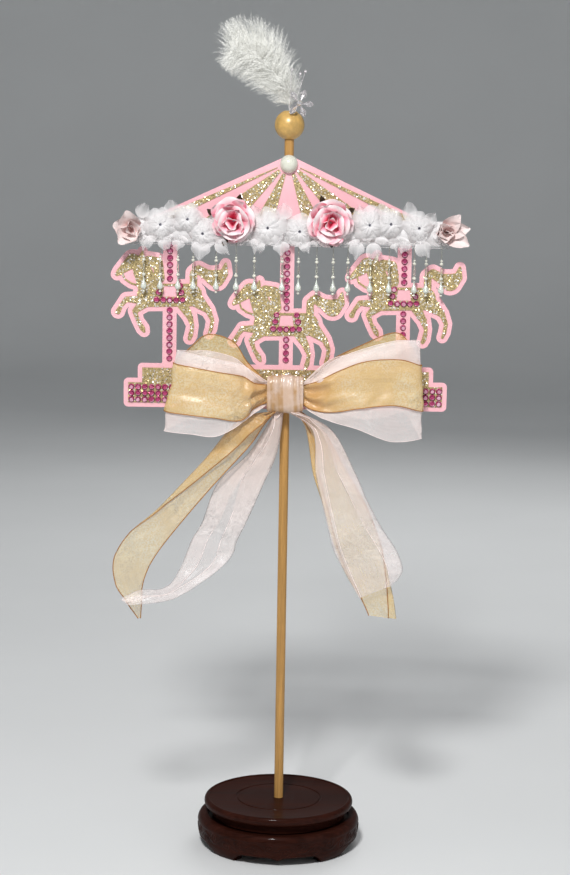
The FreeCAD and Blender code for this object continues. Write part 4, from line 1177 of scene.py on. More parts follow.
def half_pearl():
    low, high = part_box("apex_pearl")
    radius, middle = (high.x - low.x) / 2, (low + high) / 2
    place = Matrix.Translation((middle.x, high.y, middle.z)) @ Matrix.Rotation(math.pi / 2, 4, "X")
    arc = [(radius * math.cos(a), radius * math.sin(a)) for a in spaced(0, math.pi / 2, 20)]
    shape = Shape()
    shape.turned([(0, 0)] + arc, 64, place)
    shaped_piece("half_pearl", shape, [pearl], "pearl", ["apex_pearl"], closed=True, angle=50)


STONE_SIDES = 10
STONE_TURN = 0.5
# Each ring of corners: its share of the radius, its share of the height and its turn in sides
STONE_RINGS = ((1.0, 0.0, 0.0), (0.98, 0.2, 0.0), (0.74, 0.66, 0.5), (0.5, 1.0, 0.0))
# Each ring of facets: its painted light, dark for painted shade and pale for painted glints, and how far its
# lower facets differ from that, as a painted shadow arc on the lower facets by the girdle and a painted
# highlight on the lower facets round the table
STONE_FACET_LIGHT = ((0.0, 0.0), (0.20, -0.20), (0.34, -0.30), (0.50, 0.45), (0.55, 0.50))
# The table sits mostly in the pale range: a painted glint on each stone's table
TABLE_GLINT = 0.68


def stone_mesh():
    """One flat-backed stone that looks along -Y, with a ring of three-cornered facets round its table."""
    radius, high = sizes().stone, sizes().stone_height
    points, faces, facet_lights = [], [], []
    for share, level, shift in STONE_RINGS:
        for k in range(STONE_SIDES):
            turn = 2 * math.pi * (k + shift) / STONE_SIDES
            points.append((radius * share * math.cos(turn), -high * level, radius * share * math.sin(turn)))
    for k in range(STONE_SIDES):
        step = (k + 1) % STONE_SIDES
        low, girdle, middle, table = (STONE_SIDES * ring for ring in range(4))
        faces.append((low + k, low + step, girdle + step, girdle + k))
        faces.append((girdle + k, girdle + step, middle + k))
        faces.append((girdle + step, middle + step, middle + k))
        faces.append((middle + k, middle + step, table + step))
        faces.append((table + k, middle + k, table + step))
        # Lower facets get painted shade by the girdle and painted highlights round the table, as if lit from
        # above
        lower = -math.sin(2 * math.pi * (k + 0.5) / STONE_SIDES)
        facet_lights += [tone + swing * lower for tone, swing in STONE_FACET_LIGHT]
    faces.append(tuple(3 * STONE_SIDES + k for k in range(STONE_SIDES)))
    faces.append(tuple(reversed(range(STONE_SIDES))))
    mesh = bare_mesh("stone", points, faces)
    mesh.attributes.new("tone", "FLOAT", "FACE").data.foreach_set("value", facet_lights + [TABLE_GLINT, 0.0])
    return mesh


def set_stones():
    for seed, name in enumerate(("pole_stones", "saddle_stones", "platform_stones")):
        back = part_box(name)[1].y
        seats = [(middle.x, back, middle.z) for middle in islands(name)]
        mesh = grown(name + "_cut", bare_mesh("seats", seats), stone_tree, stone_mesh(), Seed=seed + 11,
                     Material=once(pink_stone))
        work = bmesh.new()
        work.from_mesh(mesh)
        bmesh.ops.recalc_face_normals(work, faces=work.faces)
        work.to_mesh(mesh)
        work.free()
        mesh.polygons.foreach_set("use_smooth", [False] * len(mesh.polygons))
        piece(name + "_cut", mesh, [pink_stone], [name])


# Fringe

CORD_RADIUS, CORD_LOBE = 0.6 * MM, 0.16
CORD_TWIST = 1 / (3.2 * MM)
CORD_STEPS, CORD_SIDES = 400, 16
TAPE_STEPS, TAPE_FRONT, TAPE_FOOT = 200, 0.3 * MM, 1.2 * MM
TAPE_WAVE, TAPE_WAVES = 0.12 * MM, 900
LOOP_RADIUS, LOOP_THREAD, CORE_THREAD = 1.25, 0.28 * MM, 0.16 * MM
# Down a string, each bead's kind, length and radius in millimetres
STRING = (("thread", 8.6, 0.3), ("seed", 2.2, 1.1), ("pearl", 3.0, 1.6), ("thread", 1.4, 0.3),
          ("bugle", 8.0, 0.9), ("pearl", 3.2, 1.7), ("thread", 0.6, 0.3), ("teardrop", 11.0, 2.7),
          ("seed", 2.2, 1.2))
BEAD_FINISH = {"thread": 1, "bugle": 1, "seed": 0, "pearl": 0, "teardrop": 2}
DROPS = sorted(name for name in NODES if name.startswith("bead_drop_"))


def joint_place(child):
    joint = next(j for j in frame["joints"] if j["child"] == child)
    return Vector(joint["pos_m"])


def fringe_tape():
    low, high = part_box("fringe_tape")
    cord = joint_place(DROPS[0])
    shape = Shape()
    lines = []
    for x in spaced(low.x, high.x, CORD_STEPS):
        line = []
        for turn in turns(CORD_SIDES):
            size = CORD_RADIUS * (1 + CORD_LOBE * math.cos(2 * turn - 2 * math.pi * x * CORD_TWIST))
            line.append(Vector((x, cord.y + size * math.cos(turn), cord.z + size * math.sin(turn))))
        lines.append(line)
    shape.sheet(lines, around=True)
    front, back = max(low.y, cord.y - TAPE_FRONT), high.y
    bottom, top = cord.z + TAPE_FOOT, high.z
    lines = []
    for x in spaced(low.x, high.x, TAPE_STEPS):
        near = front + TAPE_WAVE * math.sin(x * TAPE_WAVES)
        corners = ((near, bottom), (near, top), (back, top), (back, bottom))
        lines.append([Vector((x, y, z)) for y, z in corners])
    shape.sheet(lines, around=True, place=lambda i, j: (j * MM, i * 1.5 * MM))
    tape = shaped_piece("corded_tape", shape, [white_tape], "white_felt", ["fringe_tape"], closed=True,
                        angle=50)


def bead_profile(kind, top, long, wide):
    """Radius and height down one bead, from its top."""
    steps = {"thread": 1, "bugle": 8}.get(kind, 12)
    made = []
    for k in range(steps + 1):
        share = k / steps
        if kind == "thread":
            size = wide
        elif kind == "bugle":
            size = wide * min(1, (4 * min(share, 1 - share) + 0.25) ** 0.5)
        elif kind == "teardrop":
            size = wide * (math.sin(math.pi * share ** 2.3) ** 0.8 * 0.94 + 0.16 * (1 - share))
        else:
            size = wide * max(0.0, math.sin(math.pi * share)) ** 0.7
        made.append((size * MM, top - share * long * MM))
    return [(0, top)] + made + [(0, top - long * MM)]


def bead_strings():
    for name in DROPS:
        pivot = joint_place(name)
        shape = Shape()
        ring = [pivot + Vector((0, math.cos(a), math.sin(a))) * LOOP_RADIUS * MM
                for a in spaced(0, 2 * math.pi, 20)]
        shape.tube(ring, LOOP_THREAD, finish=1)
        place = Matrix.Translation((pivot.x, pivot.y, 0))
        top = pivot.z - LOOP_RADIUS * MM
        start = top
        for kind, long, wide in STRING:
            sides = 8 if kind == "thread" else 20
            shape.turned(bead_profile(kind, top, long, wide), sides, place, finish=BEAD_FINISH[kind])
            top -= long * MM
        core = [Vector((pivot.x, pivot.y, start)), Vector((pivot.x, pivot.y, top + 1 * MM))]
        shape.tube(core, CORE_THREAD, finish=1)
        shaped_piece(name + "_beads", shape, [pearl, clear_bead, milky_drop], "clear_bead", [name], name,
                     closed=True, angle=60)


# Flowers

# Each layer: its reach, its middle's level as a share of the gem's, its puff, its droop and its lobes
ROSETTE = ((1.30, 0.25, 0.20, 0.22, 5), (1.02, 0.60, 0.22, 0.14, 4), (0.72, 0.92, 0.20, 0.06, 3))
ROSETTE_RINGS = 10
ROSETTE_SEGMENTS = 60
SCALLOP, UNEVEN, CREASE, RIPPLE, RUMPLE = 0.14, 0.20, 0.09, 0.015, 0.15
ROSETTE_FILL = 0.9
# Each ring: its petals, their length, half width, tilts, cup, ruffle, foot, level and first bearing.
# Lengths are shares of the rose's radius, and tilts and bearings are in degrees
ROSE = (
    (5, 1.12, 0.82, (4, 30, -24), 0.20, 0.10, 0.05, 0.00, 100),
    (4, 0.96, 0.82, (24, 46, 0), 0.26, 0.13, 0.06, 0.08, 60),
    (3, 0.78, 0.68, (42, 62, 12), 0.38, 0.14, 0.08, 0.16, 20),
    (3, 0.54, 0.44, (62, 80, 44), 0.65, 0.08, 0.07, 0.24, 80),
)
# Each flower: its place across, its height above the band's foot and its radius, in millimetres
FLOWERS = {
    "rosettes_left": ((-108, 14, 11.5), (-85, 19, 11.0), (-72, 7, 10.5)),
    "rosettes_center": ((-17, 12.5, 13.5), (10, 10, 11.0)),
    "rosettes_right": ((69, 16.5, 12.5), (87, 17.5, 10.5), (111, 14.5, 11.0)),
    "rose_left": ((-46, 18, 17.5),),
    "rose_right": ((36, 18, 17.5),),
}
LOOKS = {"rose_left": (-0.12, -1, -0.12), "rose_right": (0.05, -1, -0.1)}
# Each blossom: its place, and its petals' bearing, length, half width, tilts, cup and point
BLOSSOMS = {
    "blossom_left": ((-133, 10), (
        (98, 21, 10.0, (35, 50, 25), 0.60, 0.45), (165, 19, 10.5, (30, 50, 20), 0.60, 0.50),
        (236, 21, 9.5, (25, 55, 30), 0.80, 0.35), (292, 16, 9.0, (35, 55, 40), 0.60, 0.25),
        (30, 14, 9.0, (45, 60, 50), 0.50, 0.20), (200, 13, 8.0, (60, 80, 70), 0.90, 0.30),
        (62, 12, 8.0, (60, 80, 70), 0.90, 0.20))),
    "blossom_right": ((133, 12), (
        (50, 21, 7.4, (20, 36, 5), 0.70, 0.60), (8, 23, 7.4, (15, 34, 5), 0.70, 0.60),
        (-30, 25, 8.2, (12, 30, 5), 0.70, 0.60), (120, 14, 8.0, (45, 65, 50), 0.70, 0.15),
        (200, 13, 8.0, (50, 70, 55), 0.70, 0.15), (270, 14, 8.0, (40, 60, 40), 0.60, 0.25),
        (90, 10, 7.0, (60, 85, 90), 0.90, 0.10), (240, 10, 7.0, (60, 85, 90), 0.90, 0.10))),
}
# Each loose petal: its place, its bearing, its length and its half width
LOOSE_PETALS = (
    (-119, 4, -100, 15, 8.0), (-105, 2, -72, 13, 7.5), (-92, 1, -100, 10, 7.0), (-73, 0, -95, 18, 10.5),
    (-60, 1, -48, 18, 7.5), (-126, 20, 62, 13, 8.0), (-98, 22, 98, 13, 8.0), (-66, 14, 40, 12, 8.0),
    (-24, 2, -105, 13, 8.0), (-6, 1, -82, 13, 9.0), (-4, 20, 84, 14, 9.0), (-27, 20, 110, 12, 8.0),
    (14, 1, -70, 11, 7.0), (21, 16, 70, 11, 7.0), (60, 2, -104, 17, 8.5), (72, 1, -82, 17, 8.5),
    (55, 8, 150, 13, 7.0), (62, 22, 100, 11, 7.5), (79, 22, 88, 13, 8.5), (103, 20, 92, 17, 8.0),
    (117, 18, 50, 12, 7.0), (112, 3, -66, 18, 9.0), (99, 3, -100, 12, 7.5), (90, 1, -70, 8, 5.0),
    (122, 10, 0, 10, 6.0), (-120, 10, 180, 10, 7.0),
)
# Each leaf: its place, its bearing and its length
LEAVES = ((-62, 22, 140, 9), (-42, 33, 80, 8), (-52, 4, -110, 9), (30, 32, 105, 9), (37, 4, -88, 9),
          (50, 26, 35, 8))
LEAF_HALF, LEAF_LEAN = 2.6 * MM, 4
EDGE_PETALS = 18
# Degrees that hanging petals lean out, so that the bead strings can swing behind them
HANG_LEAN = 31
# Flowers below this height over the strings' pivots stand at least this far in front of them, in
# millimetres, and further out by the slope of the strings' furthest swing
STRING_TOP, STRING_ROOM = 2.0, 1.6
SWING_SLOPE = math.tan(math.radians(25))
PETAL_STEPS = (10, 10)
PETAL_FILL = 0.78
PHASES = 6.28


def petal_rows(long, half, tilts, cup, ruffle, point, phase):
    """Rows of a petal along +X that rises towards +Z by its tilts in degrees, from foot to rim.

    cup lifts its sides, ruffle waves its rim, and point runs from 0 for a round tip to 1 for a sharp one."""
    along, across = PETAL_STEPS
    x = z = 0
    rows = []
    for i in range(along + 1):
        share = i / along
        slope = math.radians(between(tilts, share))
        if i:
            x += math.cos(slope) * long / along
            z += math.sin(slope) * long / along
        round_half = math.sqrt(max(0.03, 1 - ((share - 0.6) / 0.62) ** 2))
        sharp_half = math.sin(math.pi * min(1, 0.05 + 0.95 * share ** 0.85)) ** 0.9
        wide = half * (round_half * (1 - point) + sharp_half * point)
        row = []
        for j in range(across + 1):
            side = 2 * j / across - 1
            back = 0.26 * long * (1 - point) * share ** 4 * side * side
            lift = cup * wide * side * side * (0.3 + 0.7 * share)
            lift += ruffle * share * share * math.sin(4.2 * side + phase)
            row.append((x - back * math.cos(slope) - lift * math.sin(slope), wide * side,
                        z - back * math.sin(slope) + lift * math.cos(slope)))
        rows.append(row)
    return rows


def add_petal(shape, place, long, half, tilts, cup, ruffle, point, phase):
    """Adds one petal at a place and returns the area of its cut."""
    rows = petal_rows(long, half, tilts, cup, ruffle, point, phase)
    shape.sheet([[place @ Vector(p) for p in row] for row in rows],
                value=lambda i, j: i / PETAL_STEPS[0],
                place=lambda i, j: ((2 * j / PETAL_STEPS[1] - 1) * half + phase, i / PETAL_STEPS[0] * long))
    return 2 * half * long * PETAL_FILL


def add_rose(shape, seat, look, radius, draw):
    """Adds the rings of a rose that looks one way from its seat, and returns the area of its cuts."""
    turn = Vector(look).to_track_quat("Z", "Y").to_matrix().to_4x4()
    area = 0
    for count, long, half, tilts, cup, ruffle, foot, level, first in ROSE:
        for k in range(count):
            bearing = math.radians(first + 360 * k / count + draw.uniform(-9, 9))
            size = radius * draw.uniform(0.92, 1.08)
            leaned = [t + draw.uniform(-5, 5) for t in tilts]
            place = Matrix.Translation(seat) @ turn @ Matrix.Rotation(bearing, 4, "Z")
            place = place @ Matrix.Translation((foot * radius, 0, level * radius))
            area += add_petal(shape, place, long * size, half * size, leaned, cup, ruffle * size, 0,
                              draw.uniform(0, PHASES))
    return area


def clear_of_strings(point):
    """Brings a low point of a flower in front of the bead strings, with room for them to swing."""
    pivot = joint_place(DROPS[0])
    below = pivot.z + STRING_TOP * MM - point.z
    if below > 0:
        point.y = min(point.y, pivot.y - STRING_ROOM * MM - SWING_SLOPE * below)
    return point


def add_rosette(shape, seat, look, radius, draw):
    """Adds the scalloped layers of a rosette, puffed round its gem, and returns the area of their cuts.

    Its rim is scalloped and creased between lobes, and the whole is rippled and rumpled."""
    turn = Vector(look).to_track_quat("Z", "Y").to_matrix().to_4x4()
    gem_back = BAND_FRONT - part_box("rosette_gems")[1].y
    area = 0
    for reach, level, puff, droop, lobes in ROSETTE:
        phase, seed = draw.uniform(0, PHASES), draw.uniform(0, 50)
        place = Matrix.Translation(seat) @ turn @ Matrix.Rotation(phase, 4, "Z")
        rows = []
        for i in range(ROSETTE_RINGS + 1):
            share = max(0.02, i / ROSETTE_RINGS)
            row = []
            for angle in turns(ROSETTE_SEGMENTS):
                lobe = abs(math.cos(lobes * angle / 2))
                aside, up = math.cos(angle), math.sin(angle)
                uneven = noise.noise(Vector((2 * aside, 2 * up, seed)))
                notch = SCALLOP * share * (1 - lobe ** 0.6)
                far = radius * reach * share * (1 - notch + UNEVEN * share * uneven)
                rise = gem_back * level + radius * reach * (puff * math.sin(2.9 * share) - droop * share ** 3)
                rise -= radius * CREASE * share ** 2 * (1 - lobe)
                rise += radius * RIPPLE * math.sin(math.pi * share) * math.sin(12 * angle + 4 * uneven)
                rise += radius * RUMPLE * share * noise.noise(Vector((3 * aside, 3 * up, seed + share)))
                row.append(clear_of_strings(place @ Vector((far * aside, far * up, rise))))
            rows.append(row)
        shape.sheet(rows, around=True, value=lambda i, j: i / ROSETTE_RINGS,
                    place=lambda i, j: (j / ROSETTE_SEGMENTS * radius + seed, i / ROSETTE_RINGS * radius))
        area += ROSETTE_FILL * math.pi * (radius * reach) ** 2
    return area


def flowers():
    for seed, (name, seats) in enumerate(FLOWERS.items()):
        draw = random.Random(seed + 20)
        shape, area = Shape(), 0
        add, make, slot = add_rose, rose_satin, "rose_satin"
        if name.startswith("rosettes"):
            add, make, slot = add_rosette, white_organza, "white_organza"
        for x, rise, radius in seats:
            seat = Vector((x * MM, BAND_FRONT, BAND_BOTTOM + rise * MM))
            look = LOOKS.get(name) or (draw.uniform(-0.12, 0.12), -1, draw.uniform(-0.1, 0.1))
            area += add(shape, seat, look, radius * MM, draw)
        made = shaped_piece(name + "_petals", shape, [make], slot, [name])
    dress("rosette_gems", foiled_gem)


def petal_place(x, rise, bearing, forward):
    """Where a petal's foot sits on the garland, for a bearing in degrees as seen from the front."""
    seat = Vector((x * MM, BAND_FRONT - forward * MM, BAND_BOTTOM + rise * MM))
    turn = FACING.to_track_quat("Z", "Y").to_matrix().to_4x4()
    return Matrix.Translation(seat) @ turn @ Matrix.Rotation(math.radians(bearing), 4, "Z")


def blossoms():
    """The side-on blossoms at the garland's ends, petal by petal."""
    draw = random.Random(9)
    for name, ((x, rise), petals) in BLOSSOMS.items():
        shape, area = Shape(), 0
        for bearing, long, half, tilts, cup, point in petals:
            place = petal_place(x, rise, bearing, forward=1.0)
            area += add_petal(shape, place, long * MM, half * MM, tilts, cup, 0.6 * MM, point,
                              draw.uniform(0, 6))
        made = shaped_piece(name + "_petals", shape, [blossom_satin], "blossom_satin", [name])


def loose_petals():
    """Organza petals round the flowers, and shorter ones along the garland's lower edge."""
    draw = random.Random(5)
    shape, area = Shape(), 0
    for x, rise, bearing, long, half in LOOSE_PETALS:
        lean = HANG_LEAN if bearing < 0 else 0
        tilts = (lean + draw.uniform(0, 12), lean + draw.uniform(-4, 14), lean + draw.uniform(-10, 16))
        place = petal_place(x, rise, bearing, forward=0.5)
        area += add_petal(shape, place, long * MM, 0.8 * half * MM, tilts, draw.uniform(0.2, 0.7),
                          draw.uniform(2.0, 3.6) * MM, draw.uniform(0.1, 0.5), draw.uniform(0, 6))
    half_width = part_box("garland_band")[1].x / MM
    for k in range(EDGE_PETALS):
        x = (2 * (k + draw.uniform(0.2, 0.8)) / EDGE_PETALS - 1) * half_width
        place = petal_place(x, draw.uniform(3.0, 7.0), draw.uniform(-125, -55), forward=0.4)
        area += add_petal(shape, place, draw.uniform(5, 9) * MM, draw.uniform(4, 6.5) * MM,
                          (HANG_LEAN + draw.uniform(0, 14), HANG_LEAN + draw.uniform(-5, 12)), 0.3, 1.0 * MM,
                          draw.uniform(0, 0.3), draw.uniform(0, 6))
    made = shaped_piece("organza_petals", shape, [sheer_organza], "white_organza")
    shape, area = Shape(), 0
    for x, rise, bearing, long in LEAVES:
        lean = HANG_LEAN if bearing < 0 else LEAF_LEAN
        place = petal_place(x, rise, bearing, forward=0.4)
        area += add_petal(shape, place, long * MM, LEAF_HALF, (lean, lean + LEAF_LEAN), 0.2, 0.2 * MM, 1.0,
                          draw.uniform(0, 6))
    made = shaped_piece("rose_leaves", shape, [leaf_bronze], "rose_satin")


STRIP_STEPS, STRIP_ROWS = 420, 10
STRIP_PLEATS, STRIP_WAVE, STRIP_BACK = 700, 1.6 * MM, 0.2 * MM


def garland_ruffle():
    """The gathered strip that carries the flowers: pleated in front, flat against the card behind."""
    low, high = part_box("garland_band")
    rows = []
    for i, x in enumerate(spaced(low.x, high.x, STRIP_STEPS)):
        end = end_fade(i / STRIP_STEPS)
        row = []
        for share in spaced(0, 1, STRIP_ROWS):
            pleat = math.sin(x * STRIP_PLEATS + 2.5 * noise.noise(Vector((x * 60, share, 0))))
            wave = STRIP_WAVE * noise.noise(Vector((x * 140, 2 + share, 4)))
            bulge = 0.55 + 0.45 * math.sin(math.pi * share)
            deep = (high.y - low.y) * bulge * (0.9 + 0.09 * pleat) * end
            row.append(Vector((x, high.y - deep - STRIP_BACK, low.z + (high.z - low.z) * share + wave)))
        rows.append(row + [Vector((x, high.y, high.z)), Vector((x, high.y, low.z))])
    shape = Shape()
    shape.sheet(rows, around=True, place=lambda i, j: (j * 2 * MM, i * 0.8 * MM))
    made = shaped_piece("gathered_strip", shape, [white_organza], "white_felt", ["garland_band"], closed=True)


# Bow

GOLD_WIDTH = 38 * MM
IVORY_WIDTH = 70 * MM
# Both edges of a loop at stations from its foot, in millimetres from the middle of the knot
GOLD_LOOP_LEFT = (
    ((-15.5, -4, 8), (-15.5, -4, -7)), ((-26, -11, 10), (-27, -11, -13)),
    ((-36, -16, 16), (-38, -16, -22)), ((-55, -20, 19.5), (-60, -20, -19)),
    ((-75, -20, 23), (-80, -20, -17)), ((-93, -15, 26), (-100, -15, -15)),
    ((-92, -9, 28), (-99, -9, -12)), ((-80, -3, 40), (-84, -3, 2)), ((-66, 0, 50), (-68, 0, 12)),
    ((-45, 1, 44), (-46, 1, 6)), ((-33, 2, 27), (-32, 2, -4)), ((-15.5, 3, 9), (-15.5, 3, -6)))
IVORY_LOOP_LEFT = (
    ((-15.5, -2.5, 10), (-15.5, -2.5, -9)), ((-26, -9.5, 14), (-27, -9.5, -16)),
    ((-35, -14.5, 25), (-36, -14.5, -24)), ((-55, -18.5, 30), (-58, -18.5, -35)),
    ((-75, -18.5, 34), (-80, -18.5, -33.5)), ((-91, -14, 37), (-101, -14, -32)),
    ((-90, -10, 37), (-100, -10, -30)), ((-80, -4.5, 36), (-86, -4.5, -24)),
    ((-66, -1.5, 36), (-70, -1.5, -22)), ((-45, -0.5, 31), (-48, -0.5, -18)),
    ((-33, 0.5, 22), (-33, 0.5, -11)), ((-15.5, 1.5, 10), (-15.5, 1.5, -7)))
GOLD_LOOP_RIGHT = (
    ((15.5, -4, 8), (15.5, -4, -8)), ((28, -10, 12.5), (26, -10, -12.5)), ((45, -16, 22), (42, -16, -13)),
    ((68, -20, 31), (64, -20, -9)), ((96, -20, 33), (92, -20, -6)), ((114, -15, 28), (115, -15, -11)),
    ((113.5, -9, 30), (114.5, -9, -8)), ((105, -3, 46), (104, -3, 8)), ((92, 0, 54), (90, 0, 16)),
    ((65, 1, 43), (63, 1, 5)), ((38, 2, 29), (37, 2, -3)), ((15.5, 3, 9), (15.5, 3, -6)))
IVORY_LOOP_RIGHT = (
    ((15.5, -2.5, 10), (15.5, -2.5, -9)), ((26, -8.5, 18), (26, -8.5, -16)),
    ((43, -14.5, 32), (42, -14.5, -22)), ((67, -18.5, 42), (62, -18.5, -27)),
    ((94, -17.5, 49), (90, -19, -37)), ((112, -14, 48), (115, -14, -35)),
    ((111, -10, 49), (114, -10, -32)), ((100, -4.5, 47), (103, -4.5, -14)),
    ((86, -1.5, 44), (86, -1.5, -18)), ((62, -0.5, 36), (62, -0.5, -20)), ((38, 0.5, 30), (37, 0.5, -11)),
    ((15.5, 1.5, 10), (15.5, 1.5, -7)))
# Both edges of a tail at stations from its foot, in millimetres from the underside of the knot
GOLD_TAIL_LEFT = (
    ((-13, -3, 1), (-8, -3, 1)), ((-40, -4, -7), (-18, -4, -11)), ((-70, -6, -43), (-31, -6, -30)),
    ((-106, -7, -82), (-67, -4, -71)), ((-131, -5, -105), (-98, -8, -109)),
    ((-145, -4, -128), (-113, -9, -131)), ((-144, -6, -150), (-120, -8, -150)),
    ((-136, -7, -164), (-121, -8, -164)), ((-124, -7, -181), (-122, -7, -181)))
IVORY_TAIL_LEFT = (
    ((-8, 3, 1), (-1, 3, 1)), ((-30, 4, -35), (-6, 1, -35)), ((-57, 5, -63), (-17, -1, -62)),
    ((-70, 3, -97), (-30, 0, -93)), ((-79, 2, -113), (-39, 1, -112)), ((-88, 1, -136), (-44, -2, -126)),
    ((-97, -2, -151), (-62, -8, -143)), ((-107, -6, -155), (-90, -14, -160)),
    ((-123, -11, -155), (-111, -17, -165)), ((-139, -14, -162), (-132, -18, -167)))
GOLD_TAIL_RIGHT = (
    ((7, 4, 1), (13, 4, 1)), ((18, 5, -15), (34, 4, -18)), ((25, 5, -53), (52, 3, -48)),
    ((34, 4, -80), (70, 4, -78)), ((42, 3, -108), (84, 5, -112)), ((54, 4, -139), (94, 4, -148)),
    ((68, 5, -162), (98, 3, -166)), ((76, 5, -178), (100, 2, -180)))
IVORY_TAIL_RIGHT = (
    ((2, -3, 1), (12, -3, 1)), ((24, -4, -15), (41, -2, -15)), ((27, -4, -50), (62, -3, -52)),
    ((32, -5, -72), (72, -5, -74)), ((38, -5, -97), (85, -2, -98)), ((44, -4, -119), (99, -3, -119)),
    ((54, -3, -138), (104, -5, -136)), ((67, -3, -161), (95, -4, -149)))
# Shares of a tail's width that are turned over at either edge, from foot to tip
TAIL_FOLDS = {
    "gold_tail_left": ((1.0, 0.95, 0.6, 0.12, 0, 0, 0, 0, 0), (0, 0)),
    "ivory_tail_left": ((0.8, 0.5, 0.38, 0.35, 0.35, 0.35, 0.5, 0.7),
                        (0.9, 0.6, 0.42, 0.36, 0.34, 0.36, 0.5, 0.8)),
    "gold_tail_right": ((0.3, 0.25, 0.1, 0.06, 0.06, 0), (0, 0, 0, 0, 0.15, 0.3)),
    "ivory_tail_right": ((0.3, 0.22, 0.16, 0.12, 0.06), (0.7, 0.5, 0.36, 0.3, 0.26, 0.22)),
}
FOLD_DEPTH = 1.3 * MM
SELVAGE = 0.5 * MM
PLEATS, PLEAT_DEPTH = 13, 2.1 * MM
SLACK_DEPTH, CRUSH_DEPTH = 2.6 * MM, 0.9 * MM
FOOT_HOLD = 0.05
# Steps along a ribbon, across it and across what is turned over
ALONG, ACROSS, FLAP = 110, 22, 6


def rails(stations, origin):
    """The two edges of a ribbon as smooth lines of points."""
    return [smooth([origin + Vector(pair[side]) * MM for pair in stations], ALONG) for side in (0, 1)]


def stand_off(v, share, gather, creases, seed):
    """How far a ribbon stands off its smooth sheet, at shares across and along it."""
    pleat = math.sin(v * PLEATS + 1.6 * math.sin(share * 9 + seed)) * PLEAT_DEPTH * gather
    slack = noise.noise(Vector((v * 2.2 + seed, share * 6.5, seed * 3.7))) * SLACK_DEPTH * (1 - 0.7 * gather)
    crush = noise.noise(Vector((v * 7 + seed, share * 20, seed))) * CRUSH_DEPTH
    hold = math.sin(math.pi * min(1, max(0, 0.12 + 0.76 * v))) ** 0.5
    bend = sum(deep * math.exp(-((share - at + 0.02 * math.sin(5 * v + seed)) / long) ** 2)
               for at, long, deep in creases)
    return (pleat + slack * hold + crush + bend * MM) * ease(0, FOOT_HOLD, share)


def turned_over(edge, inner, across, over, share):
    """Points of an edge that is turned over to the front by a share of the width, from the fold inwards."""
    inward = inner - edge
    inward = inward.normalized() if inward.length else across.normalized()
    flap = []
    for k in range(1, FLAP + 1):
        step = k / FLAP
        lift = FOLD_DEPTH * min(1, over * 4) * (0.6 + 0.5 * math.sin(step * 2.6 + share * 14))
        flap.append(edge + inward * across.length * over * step + FACING * lift * min(1, step * 3))
    return flap


def ribbon(name, stations, origin, folds, gathers, held, seed, guide=None, creases=()):
    """A ribbon through stations of its two edges, from its foot at the knot.

    folds holds shares of the width that are turned over at either edge, to the front, from foot to tip.
    gathers holds how deeply it is pleated from foot to tip, and a layer is pleated like its guide.
    creases holds the share along the ribbon where each crease stands, its length as a share and its depth."""
    gold = name.startswith("gold")
    wide = GOLD_WIDTH if gold else IVORY_WIDTH
    near, far = rails(stations, origin)
    lead, trail = rails(guide or stations, origin)
    run = 0
    rows, places, shade = [], [], []
    for i in range(ALONG + 1):
        share = i / ALONG
        back, ahead = max(i - 1, 0), min(i + 1, ALONG)
        first, across, span = near[i], far[i] - near[i], trail[i] - lead[i]
        run += ((near[i] + far[i]) / 2 - (near[back] + far[back]) / 2).length
        normal = span.cross(lead[ahead] + trail[ahead] - lead[back] - trail[back])
        normal = normal.normalized() if normal.length else FACING
        gather = between(gathers, share)
        row = []
        for k in range(ACROSS + 1):
            point = first + across * k / ACROSS
            v = (point - lead[i]).dot(span) / span.length_squared
            row.append(point + normal * stand_off(v, share, gather, creases, seed))
        left = turned_over(row[0], row[3], across, between(folds[0], share), share)
        right = turned_over(row[-1], row[-4], across, between(folds[1], share), share)
        rows.append(left[::-1] + row + right)
        places.append(run)
        shade.append(gather)
    count = len(rows[0])
    shape = Shape()
    shape.sheet(rows, value=lambda i, j: shade[i], place=lambda i, j: (j / count * wide, places[i]))
    thick = sizes().wire if gold else SELVAGE
    for side in (0, -1):
        shape.tube([row[side] for row in rows], thick / 2, finish=1)
    if gold:
        makers, slot = [gold_gauze if held == "hung" else gold_organza, ribbon_wire], "gold_organza"
    else:
        makers, slot = [ivory_gauze if held == "hung" else ivory_organza, ivory_thread], "ivory_organza"
    made = shaped_piece(name + "_ribbon", shape, makers, slot, [name])


LOOP_GATHERS = (1, 0.85, 0.35, 0.05, 0, 0, 0, 0, 0, 0.2, 0.8, 1)
LOOP_CREASES = {"left": ((0.185, 0.018, 1.6), (0.12, 0.02, -1.3)),
                "right": ((0.14, 0.02, 1.3), (0.32, 0.014, -1.2))}
TAIL_GATHERS = (1, 0.7, 0.3, 0.1, 0, 0, 0, 0)
# The knot's ivory bands: where each starts and ends across it, in millimetres, and how far it covers
KNOT_BANDS = ((-14.5, -13.5, 0.5), (-8.0, -7.0, 0.3), (-1.0, 6.0, 0.65), (11.0, 11.4, 0.6), (14.5, 15.0, 0.5))
BAND_RISE, BAND_EDGE = 0.8, 2
KNOT_COLUMNS, KNOT_TURNS = 90, 56
KNOT_SQUARE = 0.7


